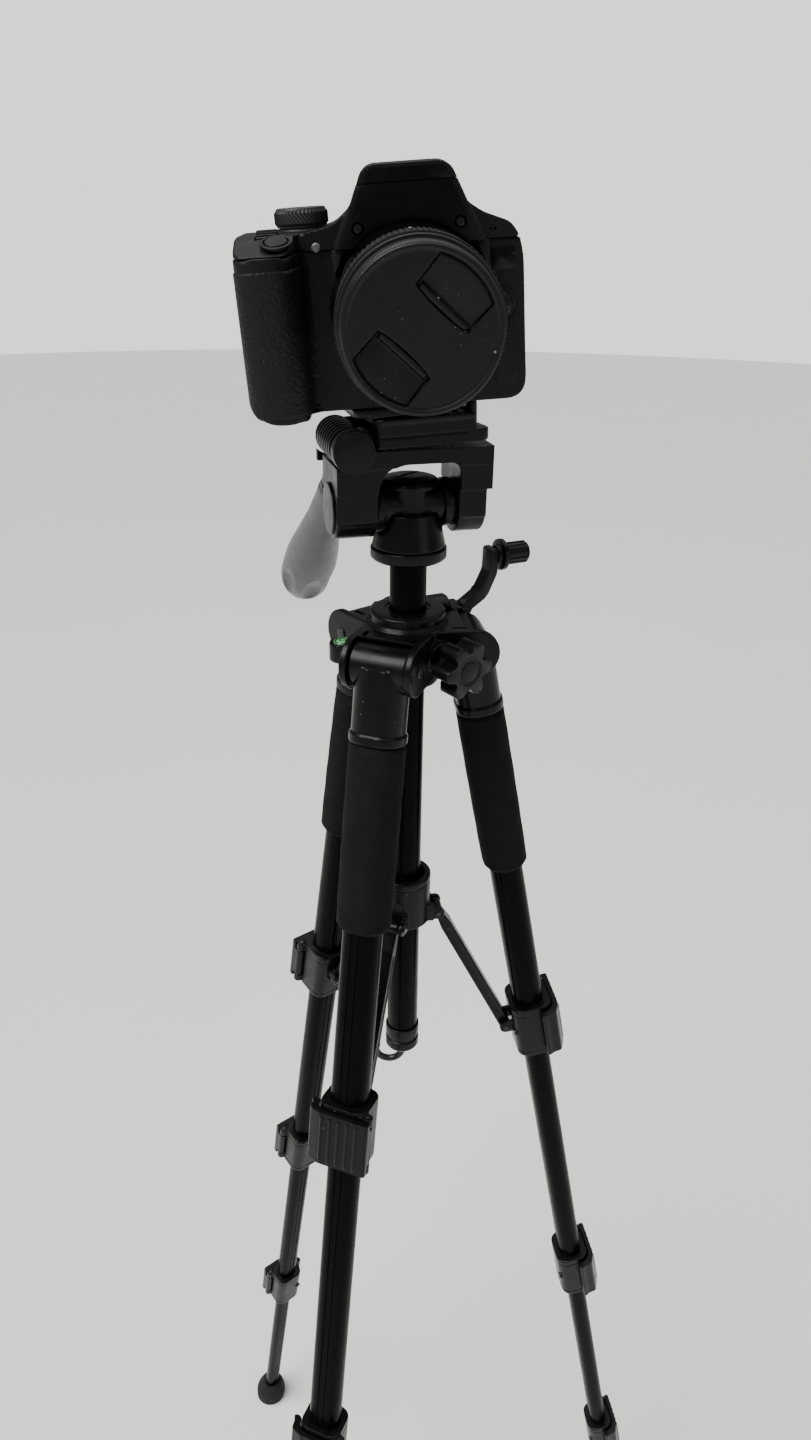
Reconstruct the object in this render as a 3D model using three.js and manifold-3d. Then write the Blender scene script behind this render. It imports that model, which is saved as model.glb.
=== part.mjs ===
// A digital single-lens camera with a capped zoom lens, on an aluminium travel tripod with a
// three-way pan head. Millimetres, +Z up, -Y is the side the lens faces.
// Each moving piece sits in a group whose origin is its joint, so a joint is read off its group.
import * as THREE from "three";
import { mergeVertices } from "three/addons/utils/BufferGeometryUtils.js";
import Module from "manifold-3d";

const wasm = await Module();
wasm.setup();

// ---------------------------------------------------------------- driving dimensions
const GAP = 0.35; // running gap between two separate pieces
const deg = Math.PI / 180;

const LEG = {
  spread: 11.04, // angle from the column
  pivotRadius: 33.7,
  azimuths: { front: -111.05, right: 8.95, rear: 128.95 },
  floor: 968, // pivot to floor along the leg
  clamp1: 278.5,
  clamps: { front: [520, 755], right: [538.5, 773.5], rear: [500, 730] },
  clampHalf: 20,
  nest: 61, // length of a tube left inside the one above it
  tubes: [
    [22.5, 19.5],
    [20.3, 16.3],
    [16.9, 13.1],
    [13.5, 10.9],
  ],
  collars: [
    [30, 27],
    [27.4, 24],
    [24, 21],
  ],
};
const BRACE = { legDown: 275, legIn: 18.5, ringRadius: 20.2, ringZ: -176, eye: 3.9, ringEye: 3.4 };
const RING = { inner: 12.3, outer: 16, top: -148, bottom: -181 };
const COLUMN = { radius: 9.75, top: 48.5, bottom: -266, bore: 5.5 };
const RACK = { module: 1.5, teeth: 50, pinionTeeth: 9, azimuth: 115, low: -200 };
const SHAFT_Z = 9;
const LOCK = { azimuth: -51, z: 1 };
const BUBBLE = { azimuth: -170 };
const HEAD = { yaw: 16, tiltZ: 77, flipU: -34.2, flipZ: 109.3 };
const FLIP_OPEN = 2.5; // the platform stands this far open
const PLATE_ASKEW = 2.0; // the plate sits this far askew in it
const CAMERA = { twist: -13.5, floorZ: 18, axisUp: 43, screwBack: 31.6, screwX: 38.1 };

// ---------------------------------------------------------------- solids
function toSolid(geometry) {
  const plain = geometry.clone();
  plain.deleteAttribute("normal");
  plain.deleteAttribute("uv");
  const merged = mergeVertices(plain, 1e-4);
  return new wasm.Manifold(
    new wasm.Mesh({
      numProp: 3,
      vertProperties: new Float32Array(merged.attributes.position.array),
      triVerts: new Uint32Array(merged.index.array),
    }),
  );
}

function toGeometry(solid) {
  const mesh = solid.getMesh();
  const geometry = new THREE.BufferGeometry();
  geometry.setAttribute("position", new THREE.BufferAttribute(mesh.vertProperties, 3));
  geometry.setIndex(new THREE.BufferAttribute(mesh.triVerts, 1));
  geometry.computeVertexNormals();
  return geometry;
}

function union(...pieces) {
  return pieces.reduce((all, piece) => all.add(piece));
}

// Turned solid: profile points [radius, height], starting and ending on the axis.
function turned(profile, segments = 20) {
  const points = profile.map(([r, z]) => new THREE.Vector2(r, z));
  const geometry = new THREE.LatheGeometry(points, segments);
  geometry.rotateX(Math.PI / 2);
  return outward(toSolid(geometry), () => {
    const back = new THREE.LatheGeometry(points.slice().reverse(), segments);
    back.rotateX(Math.PI / 2);
    return toSolid(back);
  });
}

function outward(solid, other) {
  return solid.volume() > 0 ? solid : other();
}

// Cylinder along x, y or z between two coordinates on that axis.
function rod(axis, radius, from, to, segments = 14) {
  const geometry = new THREE.CylinderGeometry(radius, radius, to - from, segments);
  geometry.translate(0, (from + to) / 2, 0);
  if (axis === "z") geometry.rotateX(Math.PI / 2);
  if (axis === "x") geometry.rotateZ(-Math.PI / 2);
  return toSolid(geometry);
}

function box(x0, x1, y0, y1, z0, z1) {
  const geometry = new THREE.BoxGeometry(x1 - x0, y1 - y0, z1 - z0);
  geometry.translate((x0 + x1) / 2, (y0 + y1) / 2, (z0 + z1) / 2);
  return toSolid(geometry);
}

// Outline in the plane of the first two letters, extruded along the third axis.
function slab(plane, outline, from, to, bevel = 0) {
  const shape = outline instanceof THREE.Shape
    ? outline
    : new THREE.Shape(outline.map(([a, b]) => new THREE.Vector2(a, b)));
  const geometry = new THREE.ExtrudeGeometry(shape, {
    depth: to - from - 2 * bevel,
    bevelEnabled: bevel > 0,
    bevelThickness: bevel,
    bevelSize: bevel,
    bevelOffset: -bevel,
    bevelSegments: 1,
    curveSegments: 3,
  });
  geometry.translate(0, 0, from + bevel);
  if (plane === "xz") {
    geometry.rotateX(Math.PI / 2);
    geometry.translate(0, from + to, 0);
  }
  if (plane === "yz") {
    geometry.rotateX(Math.PI / 2);
    geometry.rotateZ(Math.PI / 2);
  }
  return toSolid(geometry);
}

function roundedRect(width, depth, radius, x = 0, y = 0) {
  const shape = new THREE.Shape();
  const [a, b] = [width / 2, depth / 2];
  const r = Math.min(radius, a, b) - 1e-3;
  shape.moveTo(x - a + r, y - b);
  shape.lineTo(x + a - r, y - b);
  shape.absarc(x + a - r, y - b + r, r, -Math.PI / 2, 0);
  shape.lineTo(x + a, y + b - r);
  shape.absarc(x + a - r, y + b - r, r, 0, Math.PI / 2);
  shape.lineTo(x - a + r, y + b);
  shape.absarc(x - a + r, y + b - r, r, Math.PI / 2, Math.PI);
  shape.lineTo(x - a, y - b + r);
  shape.absarc(x - a + r, y - b + r, r, Math.PI, 1.5 * Math.PI);
  return shape;
}

// Upright bar with an oval section.
function oval([width, depth], z0, z1, extra = 0) {
  return slab("xy", roundedRect(width + extra, depth + extra, 99), z0, z1);
}

function moved(solid, x, y, z) {
  return solid.translate([x, y, z]);
}

// ---------------------------------------------------------------- tree of groups
const COLOURS = {
  abs: [0x17181a, 0.55, 0],
  tube: [0x1b1c1f, 0.35, 0.6],
  foam: [0x1a1a1b, 0.95, 0],
  rubber: [0x202021, 0.9, 0],
  grey: [0x6c6b69, 0.45, 0],
  shell: [0x18191b, 0.6, 0],
  gloss: [0x101113, 0.25, 0],
  green: [0x6fae72, 0.2, 0],
  metal: [0x8b8d90, 0.35, 0.9],
};

const group = new THREE.Group();

function frameIn(parent, x = 0, y = 0, z = 0) {
  const frame = new THREE.Group();
  frame.position.set(x, y, z);
  parent.add(frame);
  return frame;
}

function add(parent, name, colour, solid) {
  const [color, roughness, metalness] = COLOURS[colour];
  const material = new THREE.MeshStandardMaterial({ color, roughness, metalness });
  const mesh = new THREE.Mesh(toGeometry(solid.simplify(0.1)), material);
  mesh.name = name;
  parent.add(mesh);
  return mesh;
}

// ---------------------------------------------------------------- spider
const rackTurn = RACK.azimuth;
const pitchRadius = (RACK.module * RACK.pinionTeeth) / 2;
const rackPitchLine = 8.3;
const pinionOffset = rackPitchLine + pitchRadius + 0.15;

// The pinion shaft's own frame: x along the shaft towards the crank, y away from the column.
function shaftWise(solid) {
  return moved(moved(solid, 0, pinionOffset, 0).rotate([0, 0, rackTurn - 90]), 0, 0, SHAFT_Z);
}

function spiderSolid() {
  let solid = turned([
    [0, -20], [17, -20], [20, -14], [20, 8], [21.5, 9], [21.5, 14.5], [20.2, 15.2],
    [20.2, 19.6], [19.4, 20.5], [0, 20.5],
  ], 24);
  for (const azimuth of Object.values(LEG.azimuths)) {
    let ears = union(
      box(-19.8, 19.8, 8, LEG.pivotRadius - 14.5, -13, 12),
      box(-19.8, 19.8, 8, LEG.pivotRadius - 4, 11.6, 13.4),
    );
    for (const side of [-1, 1]) {
      const [x0, x1] = side < 0 ? [-19.8, -15.9] : [15.9, 19.8];
      ears = union(
        ears,
        box(x0, x1, 8, LEG.pivotRadius, -13.4, 13.4),
        moved(rod("x", 13.4, x0, x1), 0, LEG.pivotRadius, 0),
      );
    }
    solid = union(solid, ears.rotate([0, 0, azimuth - 90]));
  }
  // Gear housing, lock-screw boss and the bubble's lug.
  const housing = union(
    rod("x", 10.5, -12, 30),
    box(-12, 16, -14, 4, -10.5, 10.5),
    rod("x", 6.5, 29, 36.5),
  );
  solid = union(solid, shaftWise(housing));
  const boss = moved(rod("y", 8.2, 10, 29), 0, 0, LOCK.z);
  solid = union(solid, boss.rotate([0, 0, LOCK.azimuth - 90]));
  const lug = union(
    moved(rod("z", 7.4, -7, 3.2), 0, 35.1, 0),
    box(-5, 5, 15, 35, -7, 0),
  );
  solid = union(solid, lug.rotate([0, 0, BUBBLE.azimuth - 90]));
  // Bores: column, pinion pocket, shaft, lock screw, bubble seat.
  solid = solid.subtract(rod("z", COLUMN.radius + GAP, -40, 40, 28));
  const pocket = union(rod("x", pitchRadius + 1.9, -5.5, 5.5), rod("x", 3.4, -8.5, 60));
  solid = solid.subtract(shaftWise(pocket));
  const screwHole = moved(rod("y", 4.1, 16, 40), 0, 0, LOCK.z);
  solid = solid.subtract(screwHole.rotate([0, 0, LOCK.azimuth - 90]));
  const seat = moved(rod("z", 5.6, -2.5, 10), 0, 35.1, 0);
  solid = solid.subtract(seat.rotate([0, 0, BUBBLE.azimuth - 90]));
  // Room for the crank arm to turn past the right hip, and for each leg's knuckle to swing in.
  solid = solid.subtract(shaftWise(rod("x", 11, 37.2, 60, 20)));
  solid = solid.subtract(shaftWise(rod("x", 14.5, 47.6, 60, 20)));
  for (const azimuth of Object.values(LEG.azimuths)) {
    const room = union(
      moved(rod("x", 11.5, -15.85, 15.85, 20), 0, LEG.pivotRadius, 0),
      box(-15.85, 15.85, 20.6, 60, -60, 0),
    );
    solid = solid.subtract(room.rotate([0, 0, azimuth - 90]));
  }
  return solid;
}

add(group, "spider", "abs", spiderSolid());

const bubbleFrame = frameIn(group, 0, 0, 0);
bubbleFrame.rotation.z = (BUBBLE.azimuth - 90) * deg;
add(bubbleFrame, "bubble_level", "green", moved(
  turned([[0, -2.1], [5.2, -2.1], [5.2, 3.4], [4, 3.9], [0, 3.9]], 24), 0, 35.1, 0,
));

// Lock screw: star knob with six lobes on a threaded shank.
const lockFrame = frameIn(group, 0, 0, LOCK.z);
lockFrame.rotation.z = (LOCK.azimuth - 90) * deg;
function starOutline(lobes, outer, inner) {
  const points = [];
  const steps = lobes * 5;
  for (let i = 0; i < steps; i++) {
    const angle = (i / steps) * 2 * Math.PI;
    const wave = Math.cos(lobes * angle);
    const radius = inner + (outer - inner) * (0.5 + 0.5 * Math.tanh(2.2 * wave) / Math.tanh(2.2));
    points.push([radius * Math.cos(angle), radius * Math.sin(angle)]);
  }
  return points;
}
add(lockFrame, "column_lock_knob", "abs", union(
  slab("xz", starOutline(6, 15, 10.6), 38.5, 51, 1.2),
  rod("y", 3.6, 18, 40, 20),
  rod("y", 6.4, 33, 39, 24),
));

// ---------------------------------------------------------------- column
const columnFrame = frameIn(group);

// Half thicknesses of a rack tooth at its root and tip; pinion teeth are cut to suit.
const TOOTH = { root: 1.53, tip: 0.51, below: 1.65, above: 1.15 };
const rackPitch = Math.PI * RACK.module;

function rackSolid() {
  const root = rackPitchLine - TOOTH.below;
  const tip = rackPitchLine + TOOTH.above;
  const top = RACK.low + RACK.teeth * rackPitch;
  const outline = [[5.6, RACK.low], [root, RACK.low]];
  for (let i = 0; i < RACK.teeth; i++) {
    const z = RACK.low + (i + 0.5) * rackPitch;
    outline.push([root, z - TOOTH.root], [tip, z - TOOTH.tip], [tip, z + TOOTH.tip], [root, z + TOOTH.root]);
  }
  outline.push([root, top], [5.6, top]);
  const bar = slab("yz", outline, -3.6, 3.6);
  return bar.intersect(rod("z", COLUMN.radius, RACK.low - 1, top + 1, 28));
}

// Angle on the pinion of the rack tooth that stands next to it.
function meshAngle() {
  const above = (RACK.low + 0.5 * rackPitch - SHAFT_Z) % rackPitch;
  return Math.PI - above / pitchRadius;
}

function columnSolid() {
  const length = RACK.teeth * rackPitch;
  const groove = box(-4, 4, 5.7, 12, RACK.low - 1, RACK.low + length + 1);
  let solid = rod("z", COLUMN.radius, COLUMN.bottom, COLUMN.top, 28);
  solid = solid.subtract(groove);
  solid = solid.add(rackSolid());
  solid = solid.rotate([0, 0, rackTurn - 90]);
  solid = solid.subtract(rod("z", COLUMN.bore, COLUMN.bottom - 1, 20, 12));
  return solid.subtract(rod("z", COLUMN.bore, 30, COLUMN.top + 1, 12));
}
add(columnFrame, "column", "tube", columnSolid());

add(columnFrame, "column_end_cap", "abs", turned([
  [0, -272], [2.9, -272], [2.9, -284], [9.6, -284], [10.7, -282.5], [10.7, -277],
  [9.9, -276.5], [9.9, -274], [10.7, -273.5], [10.7, -266.35], [5.1, -266.35],
  [5.1, -252], [0, -252],
], 16));

const HOOK = { shank: 8, loop: 8.5 }; // length in the cap, loop radius
class HookPath extends THREE.Curve {
  getPoint(t) {
    const { shank, loop } = HOOK;
    if (t < 0.3) return new THREE.Vector3(0, 0, shank - (t / 0.3) * (shank + 6));
    const angle = ((t - 0.3) / 0.7) * 1.12 * Math.PI;
    return new THREE.Vector3(-loop + loop * Math.cos(angle), 0, -6 - loop * Math.sin(angle));
  }
}
function sweep(curve, radius, steps, sides = 4) {
  const circle = new THREE.Shape();
  circle.absarc(0, 0, radius, 0, 2 * Math.PI);
  const geometry = new THREE.ExtrudeGeometry(circle, {
    steps,
    extrudePath: curve,
    curveSegments: sides,
  });
  return toSolid(geometry);
}
const hookFrame = frameIn(columnFrame, 0, 0, -284);
add(hookFrame, "weight_hook", "metal", sweep(new HookPath(), 2.3, 18));

// ---------------------------------------------------------------- crank
const crankFrame = frameIn(group, 0, 0, SHAFT_Z);
crankFrame.rotation.z = (rackTurn - 90) * deg;
const crankAxis = frameIn(crankFrame, 0, pinionOffset, 0);

function pinionSolid() {
  const n = RACK.pinionTeeth;
  const tip = pitchRadius + TOOTH.above;
  const root = pitchRadius - TOOTH.below;
  const points = [];
  for (let i = 0; i < n; i++) {
    const middle = meshAngle() + ((i + 0.5) / n) * 2 * Math.PI;
    const flanks = [[root, -0.285], [pitchRadius, -0.138], [tip, -0.065], [tip, 0.065],
      [pitchRadius, 0.138], [root, 0.285]];
    for (const [r, a] of flanks) points.push([r * Math.cos(middle + a), r * Math.sin(middle + a)]);
  }
  return slab("yz", points, -3.2, 3.2);
}

const CRANK = { out0: 38.5, out1: 55, arm: 29, width: 9.5, thick: 5 };
function crankSolid() {
  const { out0, out1, arm, width, thick } = CRANK;
  const profile = [
    [out0, -5.5], [out0 + thick, -5.5], [out0 + thick, 0], [out1 - 1, 6.8],
    [out1 + thick, 20], [out1 + thick, arm + 5], [out1, arm + 5], [out1, 21],
    [out1 - 5.4, 10], [out0, 2.6],
  ];
  return union(
    pinionSolid(),
    rod("x", 3.0, -8, out0 + 1),
    rod("x", 5.5, out0, out0 + thick),
    slab("xz", profile, -width / 2, width / 2, 0.6),
    moved(rod("x", 2.4, out1 + 1, out1 + 27, 16), 0, 0, arm),
  );
}
add(crankAxis, "crank_arm", "abs", crankSolid());
const crankKnobFrame = frameIn(crankAxis, 0, 0, CRANK.arm);
const knobStart = CRANK.out1 + CRANK.thick + GAP;
let crankKnob = union(
  rod("x", 5.4, knobStart, knobStart + 2.5),
  rod("x", 8.8, knobStart + 2.2, knobStart + 5, 20),
  rod("x", 5.6, knobStart + 4.8, knobStart + 20),
);
for (let i = 0; i < 6; i++) {
  const angle = (i / 6) * 2 * Math.PI;
  crankKnob = crankKnob.add(
    moved(rod("x", 1.2, knobStart + 7, knobStart + 20, 6), 0, 5.2 * Math.cos(angle), 5.2 * Math.sin(angle)),
  );
}
crankKnob = crankKnob.subtract(rod("x", 2.4 + GAP, knobStart - 1, CRANK.out1 + 27.4, 16));
add(crankKnobFrame, "crank_knob", "abs", crankKnob);

// ---------------------------------------------------------------- legs
const clampLug = { x0: 5.45, x1: 8.2 };

function leverPin([width, depth]) {
  return [-(width / 2 + 0.8), depth / 2 - 3];
}

// Clamp collar with the lever's hinge ears at its left, seen from outside the leg.
function collarSolid(size, s) {
  const [width, depth] = size;
  const [px, py] = leverPin(size);
  const half = LEG.clampHalf;
  let solid = slab("xy", roundedRect(width, depth, 7), -s - half, -s + half);
  for (const side of [-1, 1]) {
    const z0 = -s + (side > 0 ? 12.6 : -18.6);
    const z1 = z0 + 6;
    solid = union(
      solid,
      moved(rod("z", 3.2, z0, z1, 20), px, py, 0),
      box(px, px + 7, py - 3.2, py + 2.6, z0, z1),
    );
  }
  const relief = union(
    moved(rod("z", 3.7, -s - 12.4, -s + 12.4, 20), px, py, 0),
    box(px - 5, px + 3.7, py, py + 9, -s - 12.4, -s + 12.4),
  );
  return solid.subtract(relief);
}

// Flip lever: barrel on the pin, plate over the collar's outer face, curled end with a thumb lip.
function leverSolid([width, depth]) {
  const [px, py] = leverPin([width, depth]);
  const inner = depth / 2 + 0.6;
  const outer = inner + 3.6;
  const corner = width / 2 - 7;
  const shape = new THREE.Shape();
  shape.moveTo(-3.1, 0);
  shape.lineTo(-3.1, outer - py - 2);
  shape.quadraticCurveTo(-3.1, outer - py, 0, outer - py);
  shape.lineTo(corner - px, outer - py);
  shape.quadraticCurveTo(width / 2 + 4 - px, outer - py, width / 2 + 4.4 - px, -1.5);
  shape.lineTo(width / 2 + 6.4 - px, -5);
  shape.lineTo(width / 2 + 3.4 - px, -6.4);
  shape.lineTo(width / 2 + 0.62 - px, -4.6);
  shape.absarc(corner - px, depth / 2 - 7 - py, 7.6, 0, Math.PI / 2, false);
  shape.lineTo(3.1, inner - py);
  shape.lineTo(3.1, 0);
  const plate = slab("xy", shape, -17, 17);
  const keep = union(
    box(-20, 90, inner - py - 0.3, 30, -20, 20),
    box(-20, 90, -30, 30, -12, 12),
    box(8, 90, -30, 30, -20, 20),
  );
  let solid = union(plate.intersect(keep), rod("z", 3.2, -12, 12, 20));
  for (let i = 0; i < 2; i++) {
    const x = 8 + i * 6;
    solid = solid.add(box(x, x + 1.3, outer - py - 1, outer - py + 0.7, -15, 15));
  }
  return solid;
}

function addLever(parent, name, size, s) {
  const [px, py] = leverPin(size);
  const pin = frameIn(parent, px, py, -s);
  add(pin, name, "abs", leverSolid(size));
}

function tubeBore(index) {
  const [width, depth] = LEG.tubes[index + 1];
  return [width + 0.6, depth + 0.6];
}

function upperLegSolid() {
  const c1 = LEG.clamp1;
  let solid = union(
    rod("x", 11, -15.5, 15.5),
    oval([29, 25], -36, 0),
    oval([31, 27], -40, -35),
    oval(LEG.tubes[0], -c1, -20),
    collarSolid(LEG.collars[0], c1),
  );
  for (const side of [-1, 1]) {
    const [x0, x1] = side < 0 ? [-clampLug.x1, -clampLug.x0] : [clampLug.x0, clampLug.x1];
    solid = union(
      solid,
      box(x0, x1, -BRACE.legIn, -12, -BRACE.legDown - 4, -BRACE.legDown + 4),
      moved(rod("x", 4, x0, x1, 20), 0, -BRACE.legIn, -BRACE.legDown),
    );
  }
  return solid.subtract(oval(tubeBore(0), -c1 - 30, -14));
}

function sectionSolid(index, sTop, sClamp) {
  const size = LEG.collars[index];
  let solid = union(
    oval(LEG.tubes[index], -sClamp, -sTop),
    collarSolid(size, sClamp),
  );
  return solid.subtract(oval(tubeBore(index), -sClamp - 30, -sTop + 1));
}

function footSolid() {
  const s = LEG.floor;
  const solid = turned([
    [0, -s - 8], [13.5, -s - 8], [14.6, -s + 3], [15, -s + 9], [14, -s + 15], [10.8, -s + 24],
    [10, -s + 27], [0, -s + 27],
  ], 18);
  // The sole is cut level with the floor.
  const sole = box(-40, 40, -40, 40, -60, 0).rotate([-LEG.spread, 0, 0]);
  const cut = solid.subtract(moved(sole, 0, 0, -s));
  return cut.subtract(oval(LEG.tubes[3], -s + 9, -s + 40, 0.6));
}

function braceLayout() {
  const th = LEG.spread * deg;
  const r = LEG.pivotRadius + BRACE.legDown * Math.sin(th) - BRACE.legIn * Math.cos(th);
  const z = -BRACE.legDown * Math.cos(th) - BRACE.legIn * Math.sin(th);
  const dr = r - BRACE.ringRadius;
  const dz = BRACE.ringZ - z;
  return { length: Math.hypot(dr, dz), lean: Math.atan2(dr, dz) / deg - LEG.spread };
}

function braceSolid(length) {
  const half = [[2.4, length], [2.4, length - 5], [3.6, length - 14], [3.6, 0]];
  const outline = [...half, ...half.map(([y, z]) => [-y, z]).reverse()];
  const solid = union(
    slab("yz", outline, -4.6, 4.6),
    rod("x", BRACE.eye, -5, 5, 20),
    moved(rod("x", BRACE.ringEye, -5, 5, 20), 0, 0, length),
  );
  const channel = box(-2.6, 2.6, -4, 1.2, 14, length - 18);
  return solid.subtract(channel);
}

for (const [name, azimuth] of Object.entries(LEG.azimuths)) {
  const swing = frameIn(group);
  swing.rotation.z = (azimuth - 90) * deg;
  const hip = frameIn(swing, 0, LEG.pivotRadius, 0);
  hip.rotation.x = LEG.spread * deg;
  const [c2, c3] = LEG.clamps[name];
  const c1 = LEG.clamp1;
  const half = LEG.clampHalf;
  const label = `leg_${name}`;

  add(hip, `${label}_upper`, "abs", upperLegSolid());
  add(hip, `${label}_grip`, "foam",
    oval([31, 27], -148, -40.3).subtract(oval(LEG.tubes[0], -150, -30, 0.6)));
  addLever(hip, `${label}_lever_1`, LEG.collars[0], c1);

  const brace = braceLayout();
  const braceFrame = frameIn(hip, 0, -BRACE.legIn, -BRACE.legDown);
  braceFrame.rotation.x = brace.lean * deg;
  add(braceFrame, `${label}_brace`, "abs", braceSolid(brace.length));

  add(hip, `${label}_section_2`, "tube", sectionSolid(1, c1 + half - LEG.nest, c2));
  addLever(hip, `${label}_lever_2`, LEG.collars[1], c2);
  add(hip, `${label}_section_3`, "tube", sectionSolid(2, c2 + half - LEG.nest, c3));
  addLever(hip, `${label}_lever_3`, LEG.collars[2], c3);
  add(hip, `${label}_section_4`, "tube",
    oval(LEG.tubes[3], -LEG.floor + 9.4, -(c3 + half - LEG.nest))
      .subtract(oval([11, 8.4], -LEG.floor + 30, 0)));
  add(hip, `${label}_foot`, "rubber", footSolid());
}

// Brace ring, loose round the column.
function ringSolid() {
  let solid = turned([
    [0, RING.bottom], [RING.outer - 0.8, RING.bottom], [RING.outer, RING.bottom + 0.8],
    [RING.outer, RING.top - 0.8], [RING.outer - 0.8, RING.top], [0, RING.top],
  ], 24);
  for (const azimuth of Object.values(LEG.azimuths)) {
    let lugs = box(-clampLug.x1, clampLug.x1, 11, 17.5, BRACE.ringZ - 5, BRACE.ringZ + 7);
    for (const side of [-1, 1]) {
      const [x0, x1] = side < 0 ? [-clampLug.x1, -clampLug.x0] : [clampLug.x0, clampLug.x1];
      lugs = union(
        lugs,
        box(x0, x1, 13, BRACE.ringRadius, BRACE.ringZ - 4, BRACE.ringZ + 4),
        moved(rod("x", 4, x0, x1, 20), 0, BRACE.ringRadius, BRACE.ringZ),
      );
    }
    const slot = box(-clampLug.x0, clampLug.x0, 15, 30, BRACE.ringZ - 12, BRACE.ringZ + 14);
    solid = union(solid, lugs.rotate([0, 0, azimuth - 90]));
    solid = solid.subtract(slot.rotate([0, 0, azimuth - 90]));
  }
  return solid.subtract(rod("z", RING.inner, RING.bottom - 20, RING.top + 20, 20));
}
add(group, "brace_ring", "abs", ringSolid());

// ---------------------------------------------------------------- pan head
const headFrame = frameIn(columnFrame);
headFrame.rotation.z = HEAD.yaw * deg;

add(headFrame, "pan_base", "abs", turned([
  [0, 30.5], [5.1, 30.5], [5.1, 48.8], [18.6, 48.8], [19.9, 50], [19.9, 54.7], [19.2, 55.3],
  [9, 55.3], [9, 64.5], [0, 64.5],
], 20));

let panBody = union(
  turned([
    [0, 55.7], [19.2, 55.7], [18.8, 57.4], [17.4, 64], [16, 71], [15.4, 73.8], [11.2, 74.2],
    [11.2, 86], [15.2, 86.4], [15.6, 88], [13.6, 90.6], [8, 92], [0, 92.4],
  ], 24),
  moved(rod("x", 9.8, -19.6, 21.2), 0, 0, HEAD.tiltZ),
  moved(rod("x", 12.4, -19.6, -15.5, 16), 0, 0, HEAD.tiltZ),
  moved(rod("x", 12.4, 16, 21.2, 16), 0, 0, HEAD.tiltZ),
);
panBody = panBody.subtract(rod("z", 9 + GAP, 40, 64.9));
panBody = panBody.subtract(box(-9, 9, -0.7, 0.7, 91, 95).rotate([0, 0, 35]));
add(headFrame, "pan_body", "abs", panBody);

const tiltFrame = frameIn(headFrame, 0, 0, HEAD.tiltZ);
const flipFrame = frameIn(tiltFrame, HEAD.flipU, 0, HEAD.flipZ - HEAD.tiltZ);

function yokeSolid() {
  const top = HEAD.flipZ - HEAD.tiltZ - 1.3;
  let solid = union(
    box(-41, 38.6, -17, 17, 9.5, top),
    box(-41, 36.4, -15.4, 15.4, -5, 12),
    rod("x", 15.4, -41, 36.4, 36),
    rod("x", 14.4, -42.2, -40, 36),
    box(-36, 34, -19, 19, 22.5, top),
  );
  const arch = new THREE.Shape();
  arch.moveTo(-20.2, -30);
  arch.lineTo(21.8, -30);
  arch.lineTo(21.8, 17);
  arch.quadraticCurveTo(21.6, 24, 12, 24);
  arch.lineTo(-8, 24);
  arch.quadraticCurveTo(-19.6, 22, -20.2, 10);
  solid = solid.subtract(slab("xz", arch, -30, 30));
  // Relief for the lock knob and the platform's hinge lug.
  const relief = union(
    rod("y", 11.2, -40, 40, 36),
    box(-20, -2, -40, 40, 0, 20),
  );
  solid = solid.subtract(moved(relief, HEAD.flipU, 0, HEAD.flipZ - HEAD.tiltZ));
  // Rear lug that carries the hinge pin of the platform.
  const lug = union(
    rod("y", 8, 24.4, 28),
    box(-8, 8, 24.4, 28, -14, 0),
    box(-4, 14, 15, 28, -20, -12.5),
  );
  solid = solid.add(moved(lug, HEAD.flipU, 0, HEAD.flipZ - HEAD.tiltZ));
  const pinHole = rod("y", 3.3, 20, 40, 20);
  return solid.subtract(moved(pinHole, HEAD.flipU, 0, HEAD.flipZ - HEAD.tiltZ));
}

const HANDLE = { u: -33.5, v: 19, up: 10, dip: 40.5, end: 145 };
const handleFrame = frameIn(tiltFrame, HANDLE.u, HANDLE.v, HANDLE.up);
handleFrame.rotation.x = -HANDLE.dip * deg; // its +y runs down and back along the handle

function handleWise(solid) {
  return moved(solid.rotate([-HANDLE.dip, 0, 0]), HANDLE.u, HANDLE.v, HANDLE.up);
}
let yoke = yokeSolid();
yoke = yoke.add(handleWise(rod("y", 7.4, -7, 2.5)));
yoke = yoke.subtract(handleWise(rod("y", 4.2, -6.4, 10)));
add(tiltFrame, "tilt_yoke", "abs", yoke);

add(handleFrame, "pan_handle", "metal", rod("y", 3.7, -6, 60));
function gripSolid() {
  const profile = [
    [0, 8], [7.2, 8], [8, 10], [8.4, 24], [9.6, 44], [12.2, 68], [14.8, 90], [16.2, 110],
    [16.2, 122], [14.6, 134], [11, 141.4], [6, 144.2], [0, HANDLE.end],
  ];
  let solid = turned(profile, 18).rotate([-90, 0, 0]);
  for (let i = 0; i < 6; i++) {
    const angle = ((i + 0.5) / 6) * 2 * Math.PI;
    const dent = rod("y", 9, -22, 22, 12);
    solid = solid.subtract(
      moved(dent, 24.4 * Math.cos(angle), 116, 24.4 * Math.sin(angle)),
    );
  }
  return solid.subtract(rod("y", 3.7 + GAP, 0, 60.5));
}
add(handleFrame, "handle_grip", "grey", gripSolid());

// ---------------------------------------------------------------- flip-over platform
flipFrame.rotation.y = -FLIP_OPEN * deg;

function platformSolid() {
  let solid = slab("xy", roundedRect(57.6, 44, 4, 39.8, 0), -0.6, 13.2, 0.8);
  solid = solid.subtract(rod("y", 11, -40, 40, 36));
  solid = union(solid, rod("y", 8, 20.4, 24, 28), box(0, 14, 20.4, 22, 2, 8));
  solid = solid.subtract(rod("y", 3.3, 15, 30, 20));
  solid = solid.subtract(box(8, 54, -16.5, 16.5, 6.2, 20));
  solid = solid.subtract(box(61, 80, -30, 30, 5.2, 20));
  return solid.subtract(box(57.6, 80, -12, 12, 4.6, 20));
}
add(flipFrame, "platform", "abs", platformSolid());

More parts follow.
